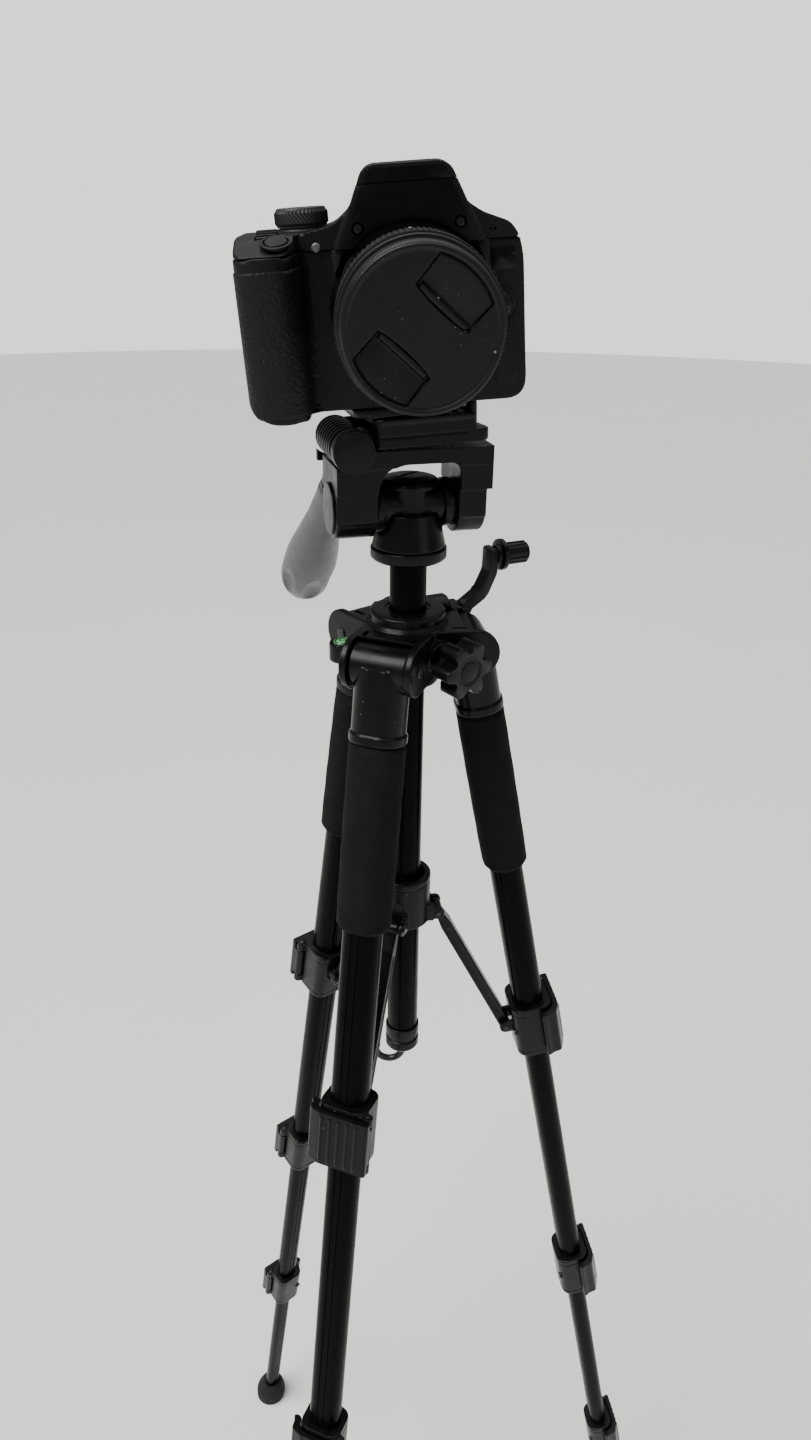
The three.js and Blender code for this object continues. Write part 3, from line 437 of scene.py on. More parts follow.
def make_materials():
    grey = (0.026, 0.026, 0.027)
    pale = (0.16, 0.155, 0.145)
    finishes = {
        "abs": Finish("tripod_abs", (0.0024, 0.0025, 0.0028), 0.29, 0.17)
        .noisy(1400, 2, 0.12, 0.0002).wear(grey).dust(pale, 160, 0.035),
        "tube": Finish("anodised_tube", (0.0014, 0.0015, 0.0019), 0.24, 0.04)
        .noisy(900, 3, 0.04, 0.0002, (1, 1, 0.02)).wear((0.012, 0.012, 0.013), 0.62, 0.75),
        "foam": Finish("foam", (0.0045, 0.0045, 0.0047), 0.93, 0.15)
        .celled(1500, 0.5, 0.0004).noisy(260, 3, 0.25, 0.0008),
        "rubber": Finish("foot_rubber", (0.0075, 0.0075, 0.0075), 0.8, 0.25)
        .noisy(700, 3, 0.3, 0.0003).wear(grey),
        # handle grip: its grey base colour is partly the grip's own colour and partly painted sheen,
        # lifting what is likely black rubber towards the grey that reflected light gives it
        "grey": Finish("handle_grip", (0.042, 0.041, 0.04), 0.34, 0.4)
        .mottled((0.066, 0.0645, 0.0625), 22, 2).noisy(500, 2, 0.08, 0.0003),
        "steel": Finish("black_steel", (0.009, 0.009, 0.0095), 0.34, 0.4, 0.2)
        .noisy(420, 2, 0.15, 0.0003).wear((0.12, 0.12, 0.12), 0.54, 0.62),
        "shell": Finish("camera_shell", (0.0034, 0.0035, 0.0039), 0.43, 0.2)
        .celled(2100, 0.22, 0.00025).wear((0.018, 0.018, 0.019)).dust(pale, 190, 0.03),
        "pebble": Finish("grip_rubber", (0.0034, 0.0034, 0.0037), 0.52, 0.24)
        .celled(640, 0.4, 0.001, "SMOOTH_F1").noisy(1500, 2, 0.2, 0.0002).dust(pale, 260, 0.04),
        "fine": Finish("panel_rubber", (0.003, 0.003, 0.0033), 0.58, 0.2)
        .celled(1100, 0.6, 0.0006, "SMOOTH_F1").dust(pale, 260, 0.03),
        "gloss": Finish("camera_gloss", (0.0012, 0.0012, 0.0014), 0.24, 0.2)
        .noisy(900, 2, 0.04, 0.0002).dust(pale, 210, 0.03),
        "lens": Finish("lens_barrel", (0.0045, 0.0046, 0.005), 0.4, 0.3)
        .noisy(1500, 2, 0.1, 0.0002).wear((0.04, 0.039, 0.038)),
        "ribs": Finish("ring_rubber", (0.0042, 0.0042, 0.0045), 0.6, 0.22)
        .noisy(1100, 2, 0.2, 0.0002).wear((0.024, 0.024, 0.0235)),
        "cap": Finish("lens_cap", (0.0034, 0.0035, 0.0039), 0.38, 0.24)
        .celled(1700, 0.12, 0.0002).wear((0.035, 0.035, 0.035))
        .dust((0.3, 0.29, 0.27), 150, 0.05).dust(pale, 420, 0.05),
        "metal": Finish("bright_metal", (0.42, 0.42, 0.43), 0.28, metallic=1.0)
        .noisy(1500, 3, 0.1, 0.0002, (1, 0.05, 1)),
        "screw": Finish("dark_screw", (0.03, 0.03, 0.031), 0.3, metallic=0.8)
        .noisy(900, 2, 0.1, 0.0002),
        "vial": Finish("bubble_vial", (0.03, 0.1, 0.036), 0.16, coat=(0.6, 0.05))
        .noisy(400, 1, 0.04, 0.0002),
        "liquid": Finish("bubble_liquid", (0.1, 0.3, 0.12), 0.08, coat=(0.8, 0.03)),
        "mark": Finish("pale_mark", (0.4, 0.4, 0.39), 0.5),
        "lamp": Finish("timer_lamp", (0.07, 0.07, 0.068), 0.22, coat=(0.3, 0.05)),
        "knurl": Finish("dial_knurl", (0.008, 0.008, 0.0082), 0.42, 0.4)
        .wear((0.1, 0.098, 0.094), 0.52, 0.58),
        "screen": Finish("screen_glass", (0.006, 0.0065, 0.008), 0.08, coat=(0.8, 0.04)),
        "cork": Finish("plate_pad", (0.009, 0.009, 0.009), 0.75, 0.25).celled(900, 0.5, 0.0006),
    }
    return {key: finish.done() for key, finish in finishes.items()}


MATERIALS = make_materials()


def put(name, mesh, place, body, finish, replaces=(), smooth=34):
    """One visible piece: placed, shaded, and riding on its CAD body."""
    mesh = mesh.copy()
    mesh.transform(place)
    mesh.name = name
    mesh.materials.clear()
    mesh.materials.append(MATERIALS[finish])
    mesh.shade_smooth()
    mesh.set_sharp_from_angle(angle=math.radians(smooth))
    obj = bpy.data.objects.new(name, mesh)
    bpy.context.scene.collection.objects.link(obj)
    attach(obj, body)
    if replaces:
        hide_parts(*replaces)
    return obj


def on_camera(name, mesh, finish, replaces=()):
    return put(name, mesh, BODY, "camera", finish, replaces)


# ---------------------------------------------------------------- spider, bubble, lock knob
def azimuth_turn(mesh, azimuth):
    mesh.transform(Matrix.Rotation(math.radians(azimuth - 90), 4, "Z"))
    return mesh


def shaft_wise(mesh):
    mesh.transform(frame_at(Matrix.Identity(4), y=PINION_OUT))
    mesh.transform(frame_at(Matrix.Identity(4), z=SHAFT_Z, angle=RACK_AZIMUTH - 90))
    return mesh


def hip_ears(azimuth):
    pieces = [
        block(-EAR_HALF, EAR_HALF, 8, LEG_RADIUS - 14.5, -13, 12),
        block(-EAR_HALF, EAR_HALF, 8, LEG_RADIUS - 4, 11.6, 13.4),
    ]
    for x0, x1 in ((-EAR_HALF, -15.9), (15.9, EAR_HALF)):
        pieces.append(block(x0, x1, 8, LEG_RADIUS, -13.4, 13.4))
        pieces.append(moved(cylinder("x", 13.4, x0, x1, 64, 0.6), 0, LEG_RADIUS))
    return [azimuth_turn(piece, azimuth) for piece in pieces]


def make_spider():
    core = revolved([
        (0, -20), (17, -20), (20, -14), (20, 8), (21.5, 9), (21.5, 14.5), (20.2, 15.2), (20.2, 19.6),
        (19.4, 20.5), (0, 20.5),
    ], 96, ease=0.3)
    add = [
        shaft_wise(cylinder("x", 10.5, -12, 30, 64)),
        shaft_wise(block(-12, 16, -14, 4, -10.5, 10.5)),
        shaft_wise(cylinder("x", 6.5, 29, 36.5)),
        azimuth_turn(moved(cylinder("y", 8.2, 10, 29), 0, 0, LOCK_Z), LOCK_AZIMUTH),
        azimuth_turn(moved(cylinder("z", 7.4, -7, 3.2), 0, BUBBLE_OUT), BUBBLE_AZIMUTH),
        azimuth_turn(block(-5, 5, 15, 35, -7, 0), BUBBLE_AZIMUTH),
    ]
    cut = [
        cylinder("z", 9.75 + GAP, -40, 40, 64, 0),
        shaft_wise(cylinder("x", 8.6, -5.5, 5.5, 48, 0)),
        shaft_wise(cylinder("x", 3.4, -8.5, 60, 32, 0)),
        azimuth_turn(moved(cylinder("y", 4.1, 16, 40, 32, 0), 0, 0, LOCK_Z), LOCK_AZIMUTH),
        azimuth_turn(moved(cylinder("z", 5.6, -2.5, 10, 32, 0), 0, BUBBLE_OUT), BUBBLE_AZIMUTH),
    ]
    for azimuth in LEG_AZIMUTHS.values():
        add += hip_ears(azimuth)
        cut.append(azimuth_turn(moved(cylinder("x", 11.5, -SLOT_HALF, SLOT_HALF, 64, 0), 0, LEG_RADIUS),
                                azimuth))
        cut.append(azimuth_turn(block(-SLOT_HALF, SLOT_HALF, 20.6, 60, -60, 0.8), azimuth))
        for side in (-1, 1):
            slit = block(side * 13.4 - 1, side * 13.4 + 1, 21.5, 29, 11, 16)
            cut.append(azimuth_turn(slit, azimuth))
    cut.append(shaft_wise(cylinder("x", 11, 37.2, 60, 64, 0)))
    cut.append(shaft_wise(block(37.2, 60, -20, 11, -8, 24)))
    cut.append(shaft_wise(block(47.6, 60, -32, 14.5, -18, 24)))
    put("spider_casting", moulded(core, add, cut, 0.5), TRIPOD, "stand", "abs",
        ["spider"])
    top_ring = revolved([(12.4, 20.3), (18.6, 20.3), (18.6, 20.9), (12.4, 21.1)], 96, ease=0.2)
    put("spider_top_ring", top_ring, TRIPOD, "stand", "abs")
    for name, azimuth in LEG_AZIMUTHS.items():
        for side, label in ((-1, "a"), (1, "b")):
            if (name, label) == ("right", "a"):
                continue  # the crank's hub passes here
            pin = moved(cylinder("x", 3.2, 19.3, 20.6, 32, 0.5), 0, LEG_RADIUS)
            if side < 0:
                pin.transform(Matrix.Rotation(math.pi, 4, "Y"))
            put(f"hip_pin_{name}_{label}", azimuth_turn(pin, azimuth), TRIPOD, "stand", "screw")


def make_bubble():
    place = frame_at(frame_at(TRIPOD, angle=BUBBLE_AZIMUTH - 90), 0, BUBBLE_OUT)
    cup = revolved([(0, -2.1), (5.2, -2.1), (5.2, 3.6), (4.7, 4), (3.9, 4), (3.9, 3.2), (0, 3.2)], 48,
                   ease=0.25)
    put("bubble_cup", cup, place, "stand", "vial", ["bubble_level"])
    dome = revolved([(0, 3.3), (3.7, 3.3), (3.3, 3.9), (1.8, 4.25), (0, 4.35)], 40, ease=0.3)
    put("bubble_dome", dome, place, "stand", "liquid")
    ring = revolved([(1.7, 4.1), (2.1, 4.1), (2.1, 4.38), (1.7, 4.4)], 40, ease=0.08)
    put("bubble_target_ring", ring, place, "stand", "gloss")


def star_outline(lobes, outer, inner, steps=20):
    points = []
    for i in range(lobes * steps):
        angle = 2 * math.pi * i / (lobes * steps)
        valley = 0.5 - 0.5 * math.cos(lobes * angle)
        radius = outer - (outer - inner) * valley ** 1.7
        points.append((radius * math.cos(angle), radius * math.sin(angle)))
    return points


def make_lock_knob():
    star = prism("xz", star_outline(6, 15.2, 9.2), 38.5, 51, 1.0, 3)
    dish = revolved([(0, 50.6), (7.4, 50.6), (7.9, 52), (0, 52)], 48, "y", 0.3)
    body = carved(star, cut=[dish])
    boss = revolved([(0, 18), (3.6, 18), (3.6, 33), (6.4, 33.3), (6.4, 36.4), (5.6, 37.4), (5.6, 39),
                     (0, 39)], 40, "y")
    button = revolved([(0, 50.2), (5.6, 50.2), (5.4, 51), (0, 51.3)], 40, "y")
    put("lock_knob_star", body, LOCK, "column_lock_knob", "abs", ["column_lock_knob"])
    put("lock_knob_shank", boss, LOCK, "column_lock_knob", "abs")
    put("lock_knob_button", button, LOCK, "column_lock_knob", "abs")


# ---------------------------------------------------------------- column
def rack_bar():
    pitch = math.pi * RACK["module"]
    root, tip = RACK["pitch_line"] - TOOTH["below"], RACK["pitch_line"] + TOOTH["above"]
    top = RACK["low"] + RACK["teeth"] * pitch
    outline = [(5.6, RACK["low"]), (root, RACK["low"])]
    for i in range(RACK["teeth"]):
        z = RACK["low"] + (i + 0.5) * pitch
        outline += [(root, z - TOOTH["root"]), (tip, z - TOOTH["tip"]), (tip, z + TOOTH["tip"]),
                    (root, z + TOOTH["root"])]
    return prism("yz", outline + [(root, top), (5.6, top)], -3.6, 3.6), top


def make_column():
    rack, top = rack_bar()
    trimmed = carved(rack, keep=[cylinder("z", 9.7, RACK["low"] - 1, top + 1, 96, 0)])
    tube = carved(
        cylinder("z", 9.72, -266, COLUMN_TOP, 96, 0.4),
        cut=[block(-4, 4, 5.7, 12, RACK["low"] - 1, top + 1),
             cylinder("z", 5.5, -267, 20, 48, 0), cylinder("z", 5.5, 30, COLUMN_TOP + 1, 48, 0)],
    )
    place = frame_at(TRIPOD, angle=RACK_AZIMUTH - 90)
    put("column_tube", tube, place, "column", "tube", ["column"])
    put("column_rack", trimmed, place, "column", "abs")
    cap = revolved([
        (0, -272), (2.9, -272), (2.9, -284), (9.6, -284), (10.7, -282.5), (10.7, -277), (9.9, -276.5),
        (9.9, -274), (10.7, -273.5), (10.7, -266.35), (5.1, -266.35), (5.1, -252), (0, -252),
    ], 72, ease=0.3)
    put("column_foot_cap", cap, TRIPOD, "column", "abs", ["column_end_cap"])
    base = revolved([
        (0, 30.5), (5.1, 30.5), (5.1, 48.8), (18.6, 48.8), (19.9, 50), (19.9, 54.7), (19.2, 55.3),
        (9, 55.3), (9, 64.5), (0, 64.5),
    ], 96, ease=0.35)
    put("pan_base_cup", base, HEAD, "column", "abs", ["pan_base"])


def make_hook():
    line = [(0, 0, 8 - 14 * k / 8) for k in range(9)]
    for k in range(1, 25):
        angle = k / 24 * 1.12 * math.pi
        line.append((-8.5 + 8.5 * math.cos(angle), 0, -6 - 8.5 * math.sin(angle)))
    bar = swept(line, 2.25, 24)
    tip = moved(ellipsoid(2.3, 2.3, 2.3, 24), *line[-1])
    place = frame_at(TRIPOD, 0, 0, -284)
    put("hook_bar", bar, place, "weight_hook", "steel", ["weight_hook"])
    put("hook_tip", tip, place, "weight_hook", "steel")


# ---------------------------------------------------------------- crank
def pinion():
    pitch = RACK["module"] * PINION_TEETH / 2
    rack_pitch = math.pi * RACK["module"]
    above = math.fmod(RACK["low"] + 0.5 * rack_pitch - SHAFT_Z, rack_pitch)
    start = math.pi - above / pitch
    tip, root = pitch + TOOTH["above"], pitch - TOOTH["below"]
    outline = []
    for i in range(PINION_TEETH):
        middle = start + (i + 0.5) / PINION_TEETH * 2 * math.pi
        for r, a in ((root, -0.285), (pitch, -0.138), (tip, -0.065), (tip, 0.065), (pitch, 0.138),
                     (root, 0.285)):
            outline.append((r * math.cos(middle + a), r * math.sin(middle + a)))
    return prism("yz", outline, -3.2, 3.2, 0.15, 1)


def make_crank():
    out0, out1, arm, thick, half = 38.5, 55, 29, 5, 4.75
    profile = [
        (out0, -5.5), (out0 + thick, -5.5), (out0 + thick, 0), (out1 - 1, 6.8), (out1 + thick, 20),
        (out1 + thick, arm + 5), (out1, arm + 5), (out1, 21), (out1 - 5.4, 10), (out0, 2.6),
    ]
    bar = prism("xz", eased(profile, 1.7, True, 3), -half, half, 0.5, 2)
    arm_piece = carved(bar, [cylinder("x", 5.5, out0, out0 + thick + 0.3, 48, 0.7)])
    put("crank_bar", arm_piece, CRANK, "crank_arm", "abs", ["crank_arm"])
    put("crank_shaft", cylinder("x", 3.0, -8, out0 + 1), CRANK, "crank_arm", "screw")
    put("crank_pinion", pinion(), CRANK, "crank_arm", "abs")
    axle = moved(cylinder("x", 2.4, out1 + 1, out1 + 27), 0, 0, arm)
    put("crank_axle", axle, CRANK, "crank_arm", "screw")
    start = out1 + thick + GAP
    knob = revolved([
        (2.75, start), (5.4, start), (5.6, start + 2.3), (8.8, start + 2.5), (8.8, start + 5),
        (5.6, start + 5.4), (5.6, start + 19.4), (5, start + 20), (2.75, start + 20),
    ], 64, "x", 0.3)
    ribs = prism("yz", ribbed(6.35, 12, 0.9, 0.55), start + 6.4, start + 19, 0.4, 2)
    hole = cylinder("x", 2.75, start - 1, out1 + 27.4, 40, 0)
    knob = carved(knob, [carved(ribs, cut=[cylinder("x", 5.2, start + 5, start + 22, 40, 0)])], [hole])
    put("crank_grip", knob, frame_at(CRANK, 0, 0, arm), "crank_knob", "abs", ["crank_knob"])


# ---------------------------------------------------------------- legs
def tube_outline(width, depth, extra=0.0, groove=0.55):
    """Oval section with two fine channels pressed along each broad face."""
    width, depth = width + extra, depth + extra
    plain = rounded(width, depth, depth * 0.46, steps=10)
    if not groove:
        return plain
    points = []
    for side in (1, -1):
        half = [p for p in plain if p[1] * side > 0]
        flat = depth / 2
        at = width * 0.1
        x0 = at + 0.9
        notch = [(x0, flat), (x0 - 0.3, flat - groove), (at - 0.6, flat - groove), (at - 0.9, flat)]
        notch += [(-x, y) for x, y in reversed(notch)]
        right = [p for p in half if p[0] * side > x0]
        left = [p for p in half if p[0] * side < -x0]
        turned = [(x * side, y * side) for x, y in notch]
        points += right + turned + left
    return points


def lever_pin(size):
    return -(size[0] / 2 + 0.8), size[1] / 2 - 3


def collar_mesh(size):
    """Clamp collar about its own middle, the lever's ears at its left."""
    width, depth = size
    px, py = lever_pin(size)
    core = prism("xy", rounded(width, depth, 7), -20, 20, 1.0, 3)
    add, cut = [], []
    for z0 in (12.6, -18.6):
        add.append(moved(cylinder("z", 3.2, z0, z0 + 6, 40, 0.5), px, py))
        add.append(block(px, px + 7, py - 3.2, py + 2.6, z0, z0 + 6))
    cut.append(moved(cylinder("z", 3.7, -12.4, 12.4, 40, 0), px, py))
    cut.append(block(px - 5, px + 3.7, py, py + 9, -12.4, 12.4))
    for z in (-15.6, 15.6):
        groove = prism("xy", rounded(width + 3, depth + 3, 7), z - 0.4, z + 0.4)
        inner = prism("xy", rounded(width - 1, depth - 1, 6.4), z - 2, z + 2)
        cut.append(carved(groove, cut=[inner]))
    return moulded(core, add, cut, 0.42)


def lever_mesh(size):
    width, depth = size
    px, py = lever_pin(size)
    inner = depth / 2 + 0.6 - py
    outer = inner + 3.6
    corner = width / 2 - 7 - px
    reach = width / 2 - px
    outline = [(-3.1, 0), (-3.1, outer), (corner + 3, outer), (reach + 3.8, outer - 3.4),
               (reach + 4.4, -1.5), (reach + 6.4, -5), (reach + 3.4, -6.4), (reach + 0.62, -4.6)]
    for k in range(9):
        angle = math.pi / 2 * k / 8
        outline.append((corner + 7.6 * math.cos(angle), depth / 2 - 7 - py + 7.6 * math.sin(angle)))
    outline += [(3.1, inner), (3.1, 0)]
    plate = prism("xy", eased(outline, 1.4, True, 3), -17, 17)
    ends = [block(-6, 8, -30, inner - 0.3, z0, z0 + 9) for z0 in (-21, 12)]
    plate = carved(plate, cut=ends)
    add = [cylinder("z", 3.2, -12, 12, 40, 0.4)]
    for i in range(5):
        x = 3.5 + i * (reach - 6) / 4.6
        add.append(block(x, x + 1.1, outer - 1, outer + 0.6, -14.6, 14.6))
    return softened(carved(plate, add), 0.4, 2, 0.3)


def make_lever(name, mesh, size, hip, s, body):
    px, py = lever_pin(size)
    place = frame_at(hip, px, py, -s)
    put(f"{name}_plate", mesh, place, body, "abs", [name])
    pin = cylinder("z", 1.5, -19.2, 19.2, 24, 0.4)
    put(f"{name}_pin", pin, place, body, "screw")


def knuckle_mesh():
    core = cylinder("x", 11, -15.5, 15.5, 72, 0.8)
    add = [
        prism("xy", rounded(29, 25, 11.5, steps=14), -36, 0),
        prism("xy", rounded(31, 27, 12.5, steps=14), -40, -35.2, 0.6),
    ]
    cut = [prism("xy", tube_outline(*TUBES[1], 0.6, 0), -60, -14)]
    for side in (-1, 1):
        ring = band(8.4, 9.2, 14.9, 16, 64, "x")
        if side < 0:
            ring.transform(Matrix.Rotation(math.pi, 4, "Z"))
        cut.append(ring)
    return moulded(core, add, cut, 0.5)


def foam_mesh():
    """Foam sleeve: slightly barrelled, its ends rolled in."""
    rings = []
    steps = 44
    for k in range(steps + 1):
        t = k / steps
        z = -40.3 - 107.7 * t
        end = min(t, 1 - t) * 107.7
        roll = 1.5 * (1 - min(end / 2.2, 1)) ** 2
        swell = 0.35 * math.sin(math.pi * t) - 0.35 - 0.12 * math.sin(9 * math.pi * t)
        rings.append([(x, y, z) for x, y in rounded(31 - 2 * roll + swell, 27 - 2 * roll + swell, 13,
                                                    steps=14)])
    inner = [(x, y) for x, y in rounded(TUBES[0][0] + 0.6, TUBES[0][1] + 0.6, 9.6, steps=14)]
    rings += [[(x, y, z) for x, y in inner] for z in (-148, -40.3)]
    return skinned(rings, closed=True)


def brace_mesh(length):
    """Pressed strut: two rails with webs between them and a wide eye at each end."""
    half = [(2.4, length), (2.4, length - 5), (3.6, length - 14), (3.6, 0)]
    bar = prism("yz", half + [(-y, z) for y, z in reversed(half)], -4.6, 4.6, 0.5)
    add = [cylinder("x", 3.9, -5, 5, 48, 0.6), moved(cylinder("x", 3.4, -5, 5, 48, 0.6), 0, 0, length)]
    cut = [block(-2.7, 2.7, -4, 1.2, 14, length - 18)]
    for side in (-1, 1):
        cut.append(block(side * 4.6 - 0.4, side * 4.6 + 0.4, -1.5, 1.5, 13, length - 17))
    return softened(carved(carved(bar, cut=cut), add), 0.4, 2, 0.35)


def foot_mesh():
    s = LEG_FLOOR
    core = revolved([
        (0, -s - 8), (13.5, -s - 8), (14.6, -s + 3), (15, -s + 9), (14, -s + 15), (10.8, -s + 24),
        (10, -s + 27), (0, -s + 27),
    ], 72, ease=2.5)
    sole = block(-40, 40, -40, 40, -60, 0)
    sole.transform(Matrix.Rotation(math.radians(-LEG_SPREAD), 4, "X"))
    grooves = [band(14.3, 17, z - 0.5, z + 0.5, 72) for z in (-s + 5, -s + 8, -s + 11)]
    bore = prism("xy", tube_outline(*TUBES[3], 0.5, 0), -s + 9, -s + 40)
    return carved(core, cut=[moved(sole, 0, 0, -s), bore] + grooves)


def clamp_screw(name, size, hip, s, body):
    """The small screw through the collar's corner, opposite the lever's pin."""
    x, y = size[0] / 2 - 4.6, -size[1] / 2 + 0.6
    head = carved(cylinder("y", 2.3, -1.3, 0.8, 32, 0.4), cut=[block(-2, 2, -2, -0.8, -0.35, 0.35)])
    put(f"{name}_screw", head, frame_at(hip, x, y, -s), body, "screw")


def make_legs():
    knuckle, foam, foot = knuckle_mesh(), foam_mesh(), foot_mesh()
    collars = [collar_mesh(size) for size in COLLARS]
    levers = [lever_mesh(size) for size in COLLARS]
    spread = math.radians(LEG_SPREAD)
    run = LEG_RADIUS + BRACE_DOWN * math.sin(spread) - BRACE_IN * math.cos(spread) - RING_RADIUS
    rise = RING_Z + BRACE_DOWN * math.cos(spread) + BRACE_IN * math.sin(spread)
    brace = brace_mesh(math.hypot(run, rise))
    lean = math.degrees(math.atan2(run, rise)) - LEG_SPREAD
    for name, hip in HIPS.items():
        leg = f"leg_{name}"
        clamps = (CLAMP_1, *CLAMPS[name])
        put(f"{leg}_knuckle", knuckle, hip, leg, "abs", [f"{leg}_upper"])
        top = carved(prism("xy", tube_outline(*TUBES[0]), -CLAMP_1 - 10, -20),
                     cut=[prism("xy", tube_outline(*TUBES[1], 0.6, 0), -CLAMP_1 - 30, -14)])
        put(f"{leg}_tube_1", top, hip, leg, "tube")
        sleeve = put(f"{leg}_foam", foam, hip, leg, "foam", [f"{leg}_grip"], 60)
        lug_cut = prism("xy", tube_outline(*TUBES[0], -1, 0), -BRACE_DOWN - 9, -BRACE_DOWN + 9)
        for x0, x1, side in ((-LUG_OUT, -LUG_IN, "a"), (LUG_IN, LUG_OUT, "b")):
            lug = carved(block(x0, x1, -BRACE_IN, -8, -BRACE_DOWN - 4, -BRACE_DOWN + 4, 0.3),
                         [moved(cylinder("x", 4, x0, x1, 40), 0, -BRACE_IN, -BRACE_DOWN)],
                         [lug_cut.copy()])
            put(f"{leg}_brace_lug_{side}", lug, hip, leg, "abs")
        pin = moved(cylinder("x", 1.7, -8.9, 8.9, 24, 0.5), 0, -BRACE_IN, -BRACE_DOWN)
        put(f"{leg}_brace_pin", pin, hip, leg, "screw")
        swing = frame_at(hip, 0, -BRACE_IN, -BRACE_DOWN, lean, "X")
        put(f"{leg}_strut", brace, swing, f"{leg}_brace", "abs", [f"{leg}_brace"])
        bodies = (leg, f"{leg}_section_2", f"{leg}_section_3")
        for i, (s, body) in enumerate(zip(clamps, bodies)):
            replaced = [] if i == 0 else [body]
            bore = prism("xy", tube_outline(*TUBES[i + 1], 0.6, 0), -30, 30)
            collar = carved(collars[i].copy(), cut=[bore])
            put(f"{leg}_collar_{i + 1}", collar, frame_at(hip, 0, 0, -s), body, "abs", replaced)
            make_lever(f"{leg}_lever_{i + 1}", levers[i], COLLARS[i], hip, s, f"{leg}_lever_{i + 1}")
            clamp_screw(f"{leg}_collar_{i + 1}", COLLARS[i], hip, s, body)
            if i:
                tube = carved(prism("xy", tube_outline(*TUBES[i]), -s - 10, -clamps[i - 1] + NEST),
                              cut=[prism("xy", tube_outline(*TUBES[i + 1], 0.6, 0), -s - 30,
                                         -clamps[i - 1] + NEST + 9)])
                put(f"{leg}_tube_{i + 1}", tube, hip, body, "tube")
        last = carved(prism("xy", tube_outline(*TUBES[3], 0, 0.4), -LEG_FLOOR + 9.4, -clamps[2] + NEST),
                      cut=[prism("xy", rounded(10.4, 7.8, 3.8), -LEG_FLOOR + 30, 0)])
        put(f"{leg}_tube_4", last, hip, f"{leg}_section_4", "tube", [f"{leg}_section_4"])
        put(f"{leg}_shoe", foot, hip, f"{leg}_section_4", "rubber", [f"{leg}_foot"])


def make_brace_ring():
    core = revolved([(0, -181), (16, -181), (16, -148), (0, -148)], 96, ease=0.8)
    add = []
    cut = [cylinder("z", 12.3, -200, -130, 72, 0)]
    cut += [band(15.5, 17, z - 0.4, z + 0.4, 96) for z in (-152.5, -154.5)]
    for azimuth in LEG_AZIMUTHS.values():
        add.append(azimuth_turn(block(-LUG_OUT, LUG_OUT, 11, 17.5, RING_Z - 5, RING_Z + 7), azimuth))
        for x0, x1 in ((-LUG_OUT, -LUG_IN), (LUG_IN, LUG_OUT)):
            add.append(azimuth_turn(block(x0, x1, 13, RING_RADIUS, RING_Z - 4, RING_Z + 4), azimuth))
            eye = moved(cylinder("x", 4, x0, x1, 40, 0.3), 0, RING_RADIUS, RING_Z)
            add.append(azimuth_turn(eye, azimuth))
        cut.append(azimuth_turn(block(-LUG_IN, LUG_IN, 15, 30, RING_Z - 12, RING_Z + 14), azimuth))
        pin = moved(cylinder("x", 1.7, -8.9, 8.9, 24, 0.5), 0, RING_RADIUS, RING_Z)
        name = f"ring_pin_{int(azimuth) % 360}"
        put(name, azimuth_turn(pin, azimuth), TRIPOD, "brace_ring", "screw")
    put("brace_ring_casting", moulded(core, add, cut, 0.45), TRIPOD, "brace_ring",
        "abs", ["brace_ring"])


# ---------------------------------------------------------------- pan head
def make_pan_body():
    core = revolved([
        (0, 55.7), (19.2, 55.7), (18.8, 57.4), (17.4, 64), (16, 71), (15.4, 73.8), (11.2, 74.2),
        (11.2, 86), (15.2, 86.4), (15.6, 88), (13.6, 90.6), (8, 92), (0, 92.4),
    ], 96, ease=0.7)
    barrel = [
        moved(cylinder("x", 9.8, -19.6, 21.2, 72, 0.6), 0, 0, TILT_Z),
        moved(cylinder("x", 12.4, -19.6, -15.5, 72, 0.7), 0, 0, TILT_Z),
        moved(cylinder("x", 12.4, 16, 21.2, 72, 0.7), 0, 0, TILT_Z),
    ]
    slot = block(-9, 9, -0.7, 0.7, 91, 95)
    slot.transform(Matrix.Rotation(math.radians(35), 4, "Z"))
    cut = [cylinder("z", 9 + GAP, 40, 64.9, 48, 0), slot]
    put("pan_stem", softened(carved(core, barrel, cut), 0.4, 2, 0.35), HEAD, "pan_body", "abs",
        ["pan_body"])


def arch_outline():
    line = [(-20.2, -30), (21.8, -30), (21.8, 24), (-20.2, 24)]
    right = eased([line[1], line[2], line[3]], 7, steps=8)
    left = eased([line[2], line[3], line[0]], 17, steps=14)
    return [line[0]] + right[:-1] + left[1:-1]


def handle_wise(mesh):
    return moved(mesh, *HANDLE_SEAT)


